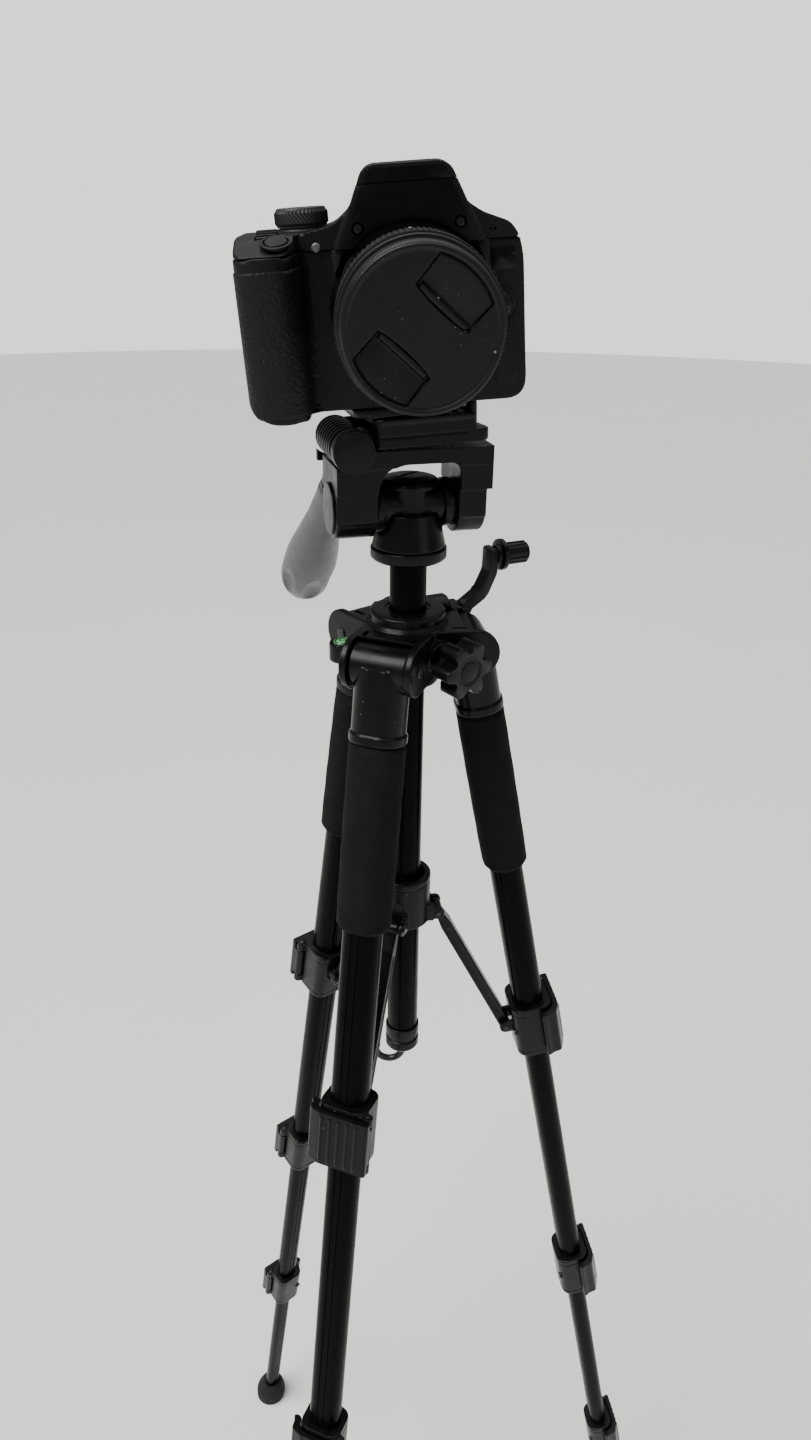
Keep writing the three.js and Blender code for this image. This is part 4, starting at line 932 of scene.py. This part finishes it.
def make_yoke():
    flip_up = FLIP_Z - TILT_Z
    top = flip_up - 1.3
    core = block(-41, 38.6, -17, 17, 9.5, top)
    add = [
        block(-41, 36.4, -15.4, 15.4, -5, 12),
        cylinder("x", 15.4, -41, 36.4, 96, 0.8),
        block(-36, 34, -19, 19, 22.5, top),
        moved(cylinder("y", 8, 24.4, 28, 48, 0.4), FLIP_U, 0, flip_up),
        moved(block(-8, 8, 24.4, 28, -14, 0), FLIP_U, 0, flip_up),
        moved(block(-4, 14, 15, 28, -20, -12.5), FLIP_U, 0, flip_up),
        handle_wise(cylinder("y", 7.4, -7, 2.5, 48, 0.8)),
    ]
    cut = [
        prism("xz", arch_outline(), -30, 30),
        moved(cylinder("y", 11.2, -40, 40, 72, 0), FLIP_U, 0, flip_up),
        moved(block(-20, -2, -40, 40, 0, 20), FLIP_U, 0, flip_up),
        moved(cylinder("y", 3.3, 20, 40, 32, 0), FLIP_U, 0, flip_up),
        handle_wise(cylinder("y", 4.2, -6.4, 10, 32, 0)),
        band(13.1, 13.9, -43, -40.3, 96, "x"),
    ]
    cut += [block(x, x + 3.2, -20, -12, 22.6, 24.8) for x in (-39, -34)]
    put("yoke_casting", moulded(core, add, cut, 0.5), TILT, "tilt_yoke", "abs",
        ["tilt_yoke"])
    disc = revolved([(0, -42.3), (12.6, -42.3), (13, -41.8), (13, -40.6), (0, -40.6)], 96, "x", 0.4)
    put("yoke_left_disc", disc, TILT, "tilt_yoke", "abs")
    inner = band(12.7, 15, 21.95, 23.4, 96, "x", 0.3)
    put("yoke_inner_ring", inner, TILT, "tilt_yoke", "abs")


def make_handle():
    rod = revolved([(0, -6), (3.7, -6), (3.7, 60), (0, 60)], 48, "y", 0.4)
    put("handle_rod", rod, HANDLE, "pan_handle", "steel", ["pan_handle"])
    profile = [
        (4.05, 8), (7.2, 8), (8, 10), (8.4, 24), (9.6, 44), (12.2, 68), (14.8, 90), (16.2, 110),
        (16.2, 122), (14.6, 134), (11, 141.4), (6, 144.2), (0, 145),
    ]
    core = revolved([(0, profile[0][1])] + eased(profile, 6, steps=5), 72, "y", 0)
    bore = cylinder("y", 3.7 + GAP, 0, 60.5, 40, 0)
    dents = []
    for i in range(6):
        angle = (i + 0.5) / 6 * 2 * math.pi
        dent = ellipsoid(9.5, 9.5, 25, 48)
        dent.transform(Matrix.Rotation(math.pi / 2, 4, "X"))
        dents.append(moved(dent, 22.6 * math.cos(angle), 118, 22.6 * math.sin(angle)))
    mesh = softened(carved(core, cut=[bore] + dents), 0.5, 2, 0.3)
    # the sleeve takes the grey grip finish, whose base colour is partly painted sheen
    put("handle_sleeve", mesh, HANDLE, "pan_handle", "grey", ["handle_grip"])


# ---------------------------------------------------------------- flip-over platform
def make_platform():
    core = prism("xy", rounded(57.6, 44, 4, 39.8, 0), -0.6, 13.2, 0.8, 3)
    add = [
        cylinder("y", 8, 20.4, 24, 48, 0.4),
        block(0, 14, 20.4, 22, 2, 8),
        prism("xy", rounded(55, 45.2, 3, 40.6, 0), 11.2, 13.2, 0.3),
        block(67.6, 69.4, -15, -4, 0.8, 4.4, 0.3),
        block(67.6, 69.4, 4, 15, 0.8, 4.4, 0.3),
    ]
    hinge_room = cylinder("y", 11, -40, 40, 72, 0)
    cut = [
        cylinder("y", 3.3, 15, 30, 32, 0),
        block(8, 54, -16.5, 16.5, 6.2, 20),
        block(61, 80, -30, 30, 5.2, 20),
        block(57.6, 80, -12, 12, 4.6, 20),
        block(14, 57, -23, -21.4, 4.2, 5.0),
        block(58, 70, -23, 23, -0.2, 0.5),
    ]
    base = carved(carved(core, cut=[hinge_room]), add, cut)
    put("platform_casting", softened(base, 0.42, 2, 0.3), FLIP, "platform", "abs", ["platform"])
    for i, y in enumerate((-9, 9)):
        rib = block(10, 52, y - 0.8, y + 0.8, 6.1, 7.2, 0.2)
        put(f"platform_floor_rib_{i + 1}", rib, FLIP, "platform", "abs")


def make_platform_knob():
    line = [(0, 30), (3, 30), (3, 19.4), (8.6, 19.4)]
    for i in range(8):
        y = 16.5 - i * 4.45
        line += [(9.9, y + 2.4), (9.9, y), (8.3, y - 0.35), (8.3, y - 1.7)]
    line += [(10.2, -19.6), (10.2, -26), (0, -26)]
    knob = revolved(line, 72, "y", 0.35)
    disc = revolved([(0, -26.2), (8.7, -26.2), (8.9, -25.6), (0, -25.6)], 72, "y", 0.2)
    put("platform_knob_body", knob, FLIP, "platform_knob", "abs", ["platform_knob"])
    put("platform_knob_face", disc, FLIP, "platform_knob", "abs")


def make_latch():
    place = frame_at(FLIP, 63, -8.5, 0)
    core = cylinder("z", 3, 4.9, 16.6, 40, 0.5)
    add = [
        prism("xy", rounded(6.4, 18, 2, 0.4, 8), 5, 15.5, 0.8, 2),
        block(-2.6, 3.4, 10, 19, 8, 12),
    ]
    cut = [block(3.0, 5, 0, 18, z, z + 0.7) for z in (7, 9.2, 11.4)]  # finger grooves
    put("latch_lever", moulded(core, add, cut, 0.3, 0.35), place, "plate_latch", "abs",
        ["plate_latch"])


def make_plate():
    top = PAD_TOP - GAP
    core = prism("xy", rounded(56, 42, 8, 31, 0), 0.3, top - 0.5, 0.6, 2)
    wedge = prism("xz", [(12, -4), (50, -4), (48.5, 1), (13.5, 1)], -14.5, 14.5, 0.4)
    put("plate_body", carved(core, [wedge]), PLATE, "quick_release_plate", "abs",
        ["quick_release_plate"])
    pad = prism("xy", rounded(49, 35, 6, 31, 0), top - 0.9, top, 0.2, 2)
    put("plate_pad", pad, PLATE, "quick_release_plate", "cork")
    screw = revolved([(0, -4.6), (6.5, -4.6), (6.5, -3.6), (0, -3.6)], 48, "z", 0.3)
    coin = carved(screw, cut=[block(-7, 7, -0.7, 0.7, -5, -4.1)])
    put("plate_screw", coin, frame_at(PLATE, SCREW_ALONG, 0, 0.3), "quick_release_plate", "metal")


# ---------------------------------------------------------------- camera shells
def shell_outline(inset=0.0):
    line = [
        (LEFT + 2 + inset, BOTTOM + inset), (RIGHT - inset, BOTTOM + inset),
        (RIGHT - inset - 0.4, 18), (RIGHT - 2 - inset, SEAM_Z), (LEFT + 3 + inset, SEAM_Z),
        (LEFT + inset, 12),
    ]
    rounding = [11, 10, 6, 0.2, 0.2, 6]
    result = []
    for i, point in enumerate(line):
        corner = eased([line[i - 1], point, line[(i + 1) % len(line)]], rounding[i], steps=8)
        result += corner[1:-1]
    return result


def grip_outline(extra=0.0):
    """Top view of the hand grip, from its side round the front into the finger valley."""
    line = [(-75.6 - extra, 20), (-76.4 - extra, -18.4 - extra), (-50 + extra, -18.6 - extra),
            (-49.5 + extra, 8.2 - extra), (-33, 8.2 - extra), (-33, 20)]
    front = eased(line[0:3], 13, steps=10)[:-1]
    nose = eased(line[1:4], 12, steps=10)[1:-1]
    valley = eased(line[2:5], 9, steps=10)[1:-1]
    return front + nose + valley + line[4:]


def grip_side(extra):
    """Front view of the grip: its lower corners well rounded."""
    line = [(-77 - extra, BOTTOM - extra), (-20, BOTTOM - extra), (-20, 60), (-77 - extra, 60)]
    corner = eased(line[3:] + line[:2], 17, steps=12)[1:-1]
    return prism("xz", corner + line[1:], -40, 60)


def throat():
    return cylinder("y", 27.4, -2, 24, 72, 0)


def wheel_well():
    return moved(cylinder("x", 9.4, -66.4, -56.4, 48, 0), 0, WHEEL_Y, WHEEL_Z)


def button_well():
    return moved(cylinder("z", 5.6, -0.3, 20, 48, 0), *SHUTTER_SEAT)


def face_screw_at(side, mesh):
    return moved(mesh, side * FACE_SCREW_X, 0, FACE_SCREW_Z)


def lens_seat():
    """Round boss that carries the mount, cut off level with the top seam."""
    ring = revolved([(0, 1.5), (34.2, 1.5), (35.2, 3), (37, 8), (37, 12), (0, 12)], 96, "y", 0.8)
    return carved(ring, [cylinder("y", 31, 0, 4, 96, 0.4)],
                  keep=[block(-60, 60, -5, 20, BOTTOM + 1, SEAM_Z)])


def make_front_shell():
    core = prism("xz", shell_outline(), 7, SEAM_Y, 2.4, 4)
    grip = carved(prism("xy", grip_outline(), BOTTOM, SEAM_Z, 2.2, 4), keep=[grip_side(0)])
    release = moved(revolved([(0, 0.6), (5, 0.6), (6.4, 2.2), (6.8, 10), (0, 10)], 48, "y", 0.5),
                    37.4, 0, -1)
    base = carved(core, [grip, lens_seat(), release], [throat(), wheel_well(), button_well()])
    on_camera("front_shell", softened(base, 0.6, 2, 0.35), "shell", ["camera_front"])
    button = revolved([(0, -0.6), (3.2, -0.6), (3.9, 0.6), (3.9, 3), (0, 3)], 40, "y", 0.4)
    on_camera("lens_release_button", moved(button, 38.2, 0, -1), "gloss")
    cover = prism("xy", grip_outline(0.5), BOTTOM + 2.6, 20.4, 1.4, 3)
    trim = block(-80, -34.5, -30, 19.6, -60, 40)
    cover = carved(cover, keep=[grip_side(0.5)])
    slope = block(-90, 0, -40, 40, 0, 30)
    slope.transform(frame_at(Matrix.Identity(4), -56, 0, 20.9, 1.5, "Y"))
    seat = revolved([(0, -10), (37.6, -10), (37.6, 30), (0, 30)], 96, "y", 0)
    pad = softened(carved(cover, cut=[slope, seat], keep=[trim]), 0.5, 3, 0.4)
    on_camera("grip_rubber", pad, "pebble")
    right = prism("xz", eased([(36, -37), (RIGHT - 3.4, -37), (RIGHT - 3.4, 11.5), (39.5, 11.5),
                               (37.5, 6)], 4, True, 5), 6.55, 7.6, 0.3)
    panel = carved(right, cut=[cylinder("y", 37.6, -10, 30, 96, 0),
                               moved(cylinder("y", 7.4, -10, 30, 48, 0), 39.5, 0, -1)])
    on_camera("front_panel_rubber", panel, "fine")
    lamp = revolved([(0, 5.2), (1.6, 5.3), (2.1, 6.1), (2.1, 8), (0, 8)], 32, "y", 0.4)
    on_camera("timer_lamp", moved(lamp, -40.8, -0.6, 27), "lamp")


def hump_section():
    """Outline of the prism hump: a trapezoid that flares out at its foot."""
    right = [(48.8, SEAM_Z), (44.5, 32), (32.4, 36.6), (25.6, 41.2), (21.9, 49.5), (21.7, 50.1),
             (21, 50.1)]
    left = [(-21, 50.1), (-21.7, 50.1), (-21.9, 49.5), (-25.6, 40.8), (-33, 35.2), (-47.6, 32.6),
            (-47.6, SEAM_Z)]
    return right + left


def make_top_cover():
    core = prism("xz", eased(hump_section(), 2.8, True, 4), 6, 54, 1.6, 3)
    face = [(33, SEAM_Z), (25.6, 41), (21.5, 50.1), (-21.5, 50.1), (-25.6, 41), (-33, SEAM_Z)]
    add = [
        prism("xz", face, -0.8, 10, 0.8, 3),
        prism("xz", [(-22, 40), (22, 40), (19, 50), (-19, 50)], 50, 62, 1.8, 3),
        moved(cylinder("z", 12.4, 28, 34.5, 72, 0.5), DIAL_X, DIAL_Y),
    ]
    shoulder = prism("yz", eased([(-17.6, SEAM_Z), (54, SEAM_Z), (54, 33), (12, 33.4),
                                  (0, 32.6), (-14.6, 27.2)], 2.2, True, 4), -75.4, -40, 0.8, 3)
    plan = prism("xy", grip_outline(-0.2)[:-2] + [(-39, 60), (-75.4, 60)], 20, 40)
    add.append(carved(shoulder, keep=[plan]))
    cut = [
        moved(cylinder("z", 3.4, 20, 60, 32, 0), DIAL_X, DIAL_Y),
        wheel_well(),
        button_well(),
        throat(),
        block(-12, 12, 56, 70, 41.5, 47.5),
        cylinder("y", 35.6, -20, 1.2, 96, 0),
    ]
    cut += [face_screw_at(side, cylinder("y", 2.6, -2, 1.0, 32, 0)) for side in (-1, 1)]
    cut += [moved(cylinder("y", 0.6, 3, 9, 20, 0), 35.4 + i * 2.1, 0, 29.6 - i * 0.15)
            for i in range(3)]  # microphone holes
    on_camera("top_cover", moulded(core, add, cut, 0.5, 0.35), "shell", ["camera_top"])
    collar = revolved([(5.6, 4.2), (6.9, 4.2), (6.9, 5.5), (5.6, 5.6)], 64, ease=0.3)
    put("shutter_collar", collar, frame_at(BODY, *SHUTTER_SEAT), "camera", "shell")
    for side, label in ((-1, "left"), (1, "right")):
        dome = revolved([(0, -0.2), (1.9, -0.2), (2.1, 0.3), (2.1, 2), (0, 2)], 32, "y", 0.2)
        head = carved(dome, cut=[block(-x, x, -1, 0.4, -z, z) for x, z in ((1.2, 0.25), (0.25, 1.2))])
        on_camera(f"face_screw_{label}", face_screw_at(side, head), "screw")


def make_hump_face():
    """Smooth dark panel on the front of the hump, framed by its raised edges."""
    line = [(29.8, SEAM_Z + 1.2), (23.6, 39.6), (18.9, 50.1), (-18.9, 50.1), (-23.6, 39.6),
            (-29.8, SEAM_Z + 1.2)]
    face = prism("xz", eased(line, 0.4, True, 3), -1.3, 0.4, 0.3, 2)
    holes = [face_screw_at(side, cylinder("y", 2.7, -3, 3, 32, 0)) for side in (-1, 1)]
    panel = carved(face, cut=[cylinder("y", 36.4, -20, 20, 96, 0)] + holes)
    on_camera("hump_face", panel, "gloss")
    for side, label in ((-1, "left"), (1, "right")):
        wing = [(side * 34.2, SEAM_Z), (side * 29.2, SEAM_Z), (side * 33.6, 12)]
        piece = prism("xz", wing if side < 0 else wing[::-1], 0.9, 7.6, 0.3)
        piece = carved(piece, cut=[cylinder("y", 37.2, -20, 20, 96, 0)])
        on_camera(f"hump_wing_{label}", piece, "shell")
    badge = prism("xz", rounded(11, 9.4, 1.6, 41, 17.6), 6.84, 7.4, 0.08, 2)
    on_camera("badge_blank", badge, "gloss")


def make_flash_lid():
    gasket = prism("xz", [(-21.5, 49.3), (21.5, 49.3), (21.3, 50.2), (-21.3, 50.2)], -0.4, 52)
    on_camera("hump_gasket", gasket, "gloss")
    place = frame_at(BODY, 0, 40, 51.4)
    rings = []
    steps = 20
    for k in range(steps + 1):
        t = k / steps
        y = -41 + 41.8 * t
        rise = 1 - 0.16 * (1 - math.sin(math.pi * min(1, 0.1 + t * 1.6) / 2)) ** 1.5
        top = 6.8 * rise
        right = [(20.6, -1.15), (21.4, -1.15), (21.2, -0.6), (19.3, 4.0 * rise), (15.4, top)]
        section = right + [(-x, z) for x, z in reversed(right)]
        rings.append([(x, y, z) for x, z in eased(section, 3.0, True, 5)])
    lid = skinned(rings)
    groove = prism("xy", eased([(-12, -34), (12, -34), (12, -6), (-12, -6)], 3, True), 6.3, 9)
    step = carved(groove, cut=[prism("xy", eased([(-11.3, -33.3), (11.3, -33.3), (11.3, -6.7),
                                                  (-11.3, -6.7)], 3, True), 5, 10)])
    put("flash_lid", softened(carved(lid, cut=[step]), 0.45, 3, 0.35), place, "flash_unit", "shell",
        ["flash_unit"])
    face = eased([(18.7, -0.9), (16.2, 4.4), (-16.2, 4.4), (-18.7, -0.9)], 0.4, True, 3)
    put("flash_face", prism("xz", face, -41.35, -40, 0.3, 2), place, "flash_unit", "gloss")


def make_hot_shoe():
    base = prism("xy", rounded(20, 12.4, 0.8, 0, 47.4), 49.6, 50.6, 0.2)
    rails = prism("xz", [(-9.6, 50.4), (-9.6, 53.4), (-6.4, 53.4), (-6.4, 52.4), (-8.4, 52.4),
                         (-8.4, 50.4)], 44.8, 53.2)
    other = rails.copy()
    other.transform(Matrix.Diagonal((-1, 1, 1, 1)))
    other.flip_normals()
    for label, mesh in (("base", base), ("rail_left", rails), ("rail_right", other)):
        on_camera(f"hot_shoe_{label}", mesh, "metal")


def knurled(radius, z0, z1, around, rows, depth):
    """Cylinder wall cut in diamonds."""
    rings = []
    for row in range(rows + 1):
        z = z0 + (z1 - z0) * row / rows
        ring = []
        for i in range(around):
            angle = 2 * math.pi * i / around
            low = (i + row) % 2 if 0 < row < rows else 1
            ring.append(((radius - depth * low) * math.cos(angle),
                         (radius - depth * low) * math.sin(angle), z))
        rings.append(ring)
    return rings


def make_dials():
    dial = frame_at(BODY, DIAL_X, DIAL_Y, 34.6)
    around = 84
    wall = knurled(12.1, 0.9, 7.2, around, 6, 0.9)
    top = [circle(r, around, z) for r, z in ((10.9, 8.0), (10.2, 8.2), (9.4, 7.95))] + [[(0, 0, 7.95)]]
    bottom = [[(0, 0, 0.35)], circle(11.2, around, 0.35)]
    put("mode_dial_cap", skinned(bottom + wall + top), dial, "mode_dial", "knurl", ["mode_dial"], 9)
    for i in range(10):
        mark = moved(prism("xy", rounded(1.5, 0.45, 0.2, 7.9, 0, 3), 7.7, 8.02), angle=i * 36)
        put(f"mode_dial_mark_{i + 1}", mark, dial, "mode_dial", "mark")
    wheel = prism("xy", ribbed(8.55, 36, 0.5), -4.4, 4.4, 0.3, 2)
    wheel.transform(Matrix.Rotation(math.pi / 2, 4, "Y"))
    put("command_wheel", wheel, frame_at(BODY, -61.4, WHEEL_Y, WHEEL_Z), "command_dial", "ribs",
        ["command_dial"])
    button = revolved([(0, 1.6), (4.9, 1.6), (5.05, 5.2), (4.6, 6.0), (3.0, 5.75), (0, 5.55)], 64,
                      ease=0.4)
    put("shutter_cap", button, frame_at(BODY, *SHUTTER_SEAT), "shutter_button", "shell",
        ["shutter_button"])


def make_rear():
    core = prism("xz", shell_outline(0.3), SEAM_Y + GAP, 56, 2.4, 4)
    add = [
        prism("xz", rounded(71, 54, 4, -16, -11), 54, 58.2, 0.9, 3),
        carved(prism("xy", rounded(22, 11, 5, 38, 56), -14, 20, 2.4, 3),
               keep=[block(20, 49, 50, 61, -20, 25)]),
    ]
    cut = [prism("xz", rounded(63.4, 43.4, 1.4, -16, -11), 57.6, 60)]
    buttons = ((28, 20), (38, -22), (27, -34), (40, -34), (28, 2))
    cut += [moved(cylinder("y", 2.9, 55.2, 70, 40, 0), x, 0, z) for x, z in buttons]
    speaker = [(40 + i * 1.6, -4 - k * 1.6) for i in range(5) for k in range(3)]
    cut += [moved(cylinder("y", 0.5, 55, 60, 12, 0), x, 0, z) for x, z in speaker]
    on_camera("rear_shell", moulded(core, add, cut, 0.6), "shell", ["camera_rear"])
    screen = prism("xz", rounded(63, 43, 1.2, -16, -11), 57.0, 58.1, 0.25, 2)
    on_camera("screen_cover", screen, "screen")
    for i, (x, z) in enumerate(buttons):
        cap = revolved([(0, 54.6), (2.6, 54.6), (2.6, 56.4), (0, 56.7)], 40, "y", 0.4)
        on_camera(f"rear_button_{i + 1}", moved(cap, x, 0, z), "gloss")
    pad = revolved([(0, 55.6), (8.8, 55.6), (8.8, 56.8), (7.9, 57.2), (4.3, 57.0), (0, 57.1)], 72, "y",
                   0.4)
    ring = carved(pad, cut=[band(3.6, 4.1, 56.4, 58, 64, "y")])
    on_camera("rear_selector", moved(ring, 34.5, 0, -10.5), "gloss")
    thumb = prism("xz", rounded(16, 13, 4, 41, 13), 56, 61.2, 0.7, 2)
    thumb = carved(thumb, keep=[block(20, 48.5, 50, 61.3, 0, 19)])
    on_camera("thumb_rubber", thumb, "pebble")
    cup = carved(prism("xz", rounded(33, 19, 5, 0, 44.2), 60.2, 66.4, 1.4, 3),
                 cut=[prism("xz", rounded(22, 11, 3, 0, 44.2), 58, 70)])
    on_camera("eyecup", softened(cup, 0.45, 3, 0.35), "ribs")
    glass = prism("xz", rounded(22.6, 6.4, 1.6, 0, 44.5), 60.6, 61.2, 0.1)
    on_camera("viewfinder_glass", glass, "screen")
    flap = prism("yz", rounded(17, 32, 2.5, 42, 0), RIGHT - 1.0, RIGHT + 0.1, 0.3, 2)
    on_camera("terminal_cover", flap, "ribs")
    door = prism("xy", rounded(20, 34, 3, -10.4, 0), -1.7, -0.4, 0.35, 2)
    latch = prism("xy", rounded(3, 9, 1, -17.4, 0), -1.95, -1.4, 0.15, 2)
    place = frame_at(BODY, -53.5, 20, BOTTOM)
    put("battery_door_plate", door, place, "battery_door", "shell", ["battery_door"])
    put("battery_door_latch", latch, place, "battery_door", "gloss")
    for side, x, z in (("left", LEFT + 1.6, 17.4), ("right", RIGHT - 0.6, 17.4)):
        lug = prism("yz", rounded(10, 5.4, 1.6, 25, z), x - 1.1, x + 1.1, 0.4, 2)
        lug = carved(lug, cut=[prism("yz", rounded(6.4, 2.2, 1, 25, z), x - 3, x + 3)])
        on_camera(f"strap_lug_{side}", lug, "screw")


# ---------------------------------------------------------------- lens and cap
def make_lens():
    barrel = revolved([
        (0, 20), (24, 20), (26.6, 18), (26.6, -0.4), (31.6, -0.4), (32.6, -6), (33.2, -20), (32.6, -26),
        (31.6, -29.4), (28.4, -29.6), (28.4, -63.7), (0, -63.7),
    ], 96, "y", 0.5)
    on_camera("barrel_tube", barrel, "lens", ["lens_barrel"])
    mount = revolved([(26.7, 0.1), (30.4, 0.1), (30.4, -0.3), (26.7, -0.3)], 96, "y", 0.1)
    on_camera("mount_ring", mount, "metal")
    dot = moved(cylinder("y", 1.1, -15.2, -12.8, 24, 0.3), 0, 0, 32.3)
    on_camera("barrel_index", dot, "mark")
    sleeve = revolved([(28.75, -30), (33.2, -30), (33.4, -31), (33.4, -62.2), (33.2, -63.4),
                       (28.75, -63.4)], 120, "y", 0.3)
    put("zoom_sleeve", sleeve, BODY, "zoom_ring", "lens", ["zoom_ring"])
    rubber = prism("xz", ribbed(34.3, 90, 0.6, 0.6), -59.6, -35.6, 0.35, 2)
    rubber = carved(rubber, cut=[cylinder("y", 33.1, -80, 0, 120, 0)])
    put("zoom_rubber", rubber, BODY, "zoom_ring", "ribs", smooth=30)
    front = revolved([
        (26, -74.3), (29.6, -74.3), (30.8, -74.1), (31.5, -73.2), (31.8, -71.6), (31.8, -65),
        (31.3, -64), (26, -64),
    ], 120, "y", 0.25)
    put("focus_rim", front, BODY, "focus_ring", "lens", ["focus_ring"])
    glass = revolved([(0, -64.6), (25.9, -64.6), (25.9, -69.4), (20, -70.4), (0, -71.4)], 96, "y", 0.4)
    put("front_glass", glass, BODY, "focus_ring", "screen")
    teeth = prism("xz", ribbed(32.0, 150, 0.35, 0.55), -70.4, -66.4, 0.2, 1)
    teeth = carved(teeth, cut=[cylinder("y", 31.2, -80, 0, 120, 0)])
    put("focus_teeth", teeth, BODY, "focus_ring", "ribs", smooth=30)


def pocket_outline(inset=0.0):
    """Half of the cap that a finger pinches: wide at the rim, its inner edge a shallow arc."""
    inner = []
    for k in range(11):
        x = (-1 + 2 * k / 10) * (13.4 - inset)
        inner.append((x, 9.4 + inset + 1.2 * (x / 13.4) ** 2))
    outer = []
    for k in range(9):
        x = (1 - 2 * k / 8) * (13.7 - inset)
        outer.append((x, math.sqrt((28.4 - inset) ** 2 - x * x)))
    return inner + outer


def make_cap():
    place = frame_at(BODY, 0, -74.5 - GAP, 0)
    disc = revolved([
        (0, 3.4), (25.4, 3.4), (25.4, 0), (30.6, 0), (31.1, -0.8), (31.1, -2.2), (30.6, -3.0),
        (29.4, -3.2), (28.6, -2.5), (0, -2.5),
    ], 120, "y", 0.3)
    cut, pieces = [], []
    for label, angle in (("upper", 45), ("lower", 225)):
        turn = Matrix.Rotation(math.radians(angle), 4, "Y")
        well = prism("xz", pocket_outline(), -5, 0.6)
        well.transform(turn)
        cut.append(well)
        floor = []
        for k in range(13):
            z = 9 + k * 19.4 / 12
            depth = 0.4 - 1.3 * math.sin(math.pi * min(1, k / 12) * 0.5) ** 2
            floor.append((depth, z))
        profile = [(1.2, 8.6)] + floor + [(1.2, 28.4)]
        tab = prism("yz", profile, -14, 14)
        tab = carved(tab, keep=[prism("xz", pocket_outline(0.45), -6, 2)])
        lip = prism("yz", eased([(-1.9, 9.9), (-2.1, 12.3), (0.3, 13.4), (0.3, 9.9)], 0.7, True, 3),
                    -11.4, 11.4)
        lip = carved(lip, keep=[prism("xz", pocket_outline(0.45), -6, 2)])
        mesh = softened(carved(tab, [lip]), 0.3, 2, 0.35)
        mesh.transform(turn)
        pieces.append((f"cap_tab_{label}", mesh))
    plate = softened(carved(disc, cut=cut), 0.4, 2, 0.5)
    put("cap_disc", plate, place, "lens_cap", "cap", ["lens_cap"])
    for name, mesh in pieces:
        put(name, mesh, place, "lens_cap", "cap")
    groove = prism("xz", ribbed(31.25, 120, 0.25, 0.6), -2.3, -0.7, 0.15, 1)
    groove = carved(groove, cut=[cylinder("y", 30.6, -10, 10, 120, 0)])
    put("cap_grip_teeth", groove, place, "lens_cap", "cap", smooth=30)


# ---------------------------------------------------------------- stage
def plain(name, colour, roughness):
    finish = Finish(name, colour, roughness)
    finish.colour = finish.tone(colour, [c * 0.97 for c in colour], finish.noise(3, 2))
    return finish.done()


def make_stage():
    bpy.ops.mesh.primitive_circle_add(vertices=128, radius=9, fill_type="NGON", location=(0, 0, 0))
    floor = bpy.context.object
    floor.name = "floor"
    floor.data.materials.append(plain("floor", (0.8, 0.79, 0.765), 0.75))
    world = bpy.data.worlds.new("studio")
    bpy.context.scene.world = world
    world.use_nodes = True
    nodes, links = world.node_tree.nodes, world.node_tree.links
    room = nodes["Background"]
    room.inputs["Color"].default_value = (0.9, 0.895, 0.88, 1)
    room.inputs["Strength"].default_value = 0.28
    wall = nodes.new("ShaderNodeBackground")
    wall.inputs["Color"].default_value = (0.94, 0.93, 0.9, 1)
    wall.inputs["Strength"].default_value = 1.6
    mix = nodes.new("ShaderNodeMixShader")
    links.new(nodes.new("ShaderNodeLightPath").outputs["Is Camera Ray"], mix.inputs["Fac"])
    links.new(room.outputs["Background"], mix.inputs[1])
    links.new(wall.outputs["Background"], mix.inputs[2])
    links.new(mix.outputs["Shader"], nodes["World Output"].inputs["Surface"])


def make_light(name, place, size, power, target=(0, 0, 0.85)):
    light = bpy.data.lights.new(name, "AREA")
    light.shape = "RECTANGLE"
    light.size, light.size_y = size
    light.energy = power
    obj = bpy.data.objects.new(name, light)
    obj.location = place
    obj.rotation_euler = (Vector(target) - Vector(place)).to_track_quat("-Z", "Y").to_euler()
    bpy.context.scene.collection.objects.link(obj)


def make_sky(towards, strength):
    """Very wide, even light from overhead, so the floor stays pale out to the horizon."""
    light = bpy.data.lights.new("sky", "SUN")
    light.energy = strength
    light.angle = math.radians(42)
    obj = bpy.data.objects.new("sky", light)
    obj.rotation_euler = Vector(towards).to_track_quat("Z", "Y").to_euler()
    bpy.context.scene.collection.objects.link(obj)


def make_camera():
    """At eye height in front of the object, looking down at it, a little rolled."""
    pitch, roll = math.radians(26.43), 0.01307
    forward = Vector((0, math.cos(pitch), -math.sin(pitch)))
    above = Vector((0, math.sin(pitch), math.cos(pitch)))
    right = math.cos(roll) * Vector((1, 0, 0)) + math.sin(roll) * above
    up = math.cos(roll) * above - math.sin(roll) * Vector((1, 0, 0))
    data = bpy.data.cameras.new("camera")
    data.sensor_fit = "VERTICAL"
    data.sensor_height = 36
    data.lens = 26.25
    data.clip_start = 0.02
    obj = bpy.data.objects.new("camera", data)
    turn = Matrix((right, up, -forward)).transposed().to_4x4()
    place = TRIPOD @ Vector((-0.434, -528.25, 216.295))
    obj.matrix_world = Matrix.Translation(place) @ turn
    bpy.context.scene.collection.objects.link(obj)
    bpy.context.scene.camera = obj


for make in (
    make_camera, make_spider, make_bubble, make_lock_knob, make_column, make_hook, make_crank,
    make_legs, make_brace_ring, make_pan_body, make_yoke, make_handle, make_platform,
    make_platform_knob, make_latch, make_plate, make_front_shell, make_top_cover, make_hump_face,
    make_flash_lid, make_hot_shoe, make_dials, make_rear, make_lens, make_cap, make_stage,
):
    make()
make_sky((-0.5, -0.3, 1.0), 3.9)
make_light("top", (0.2, 0.5, 3.0), (2.4, 2.4), 26)
make_light("key", (-1.5, -1.0, 2.6), (1.4, 1.2), 16)
make_light("fill", (1.9, -1.6, 1.6), (1.2, 1.2), 6)
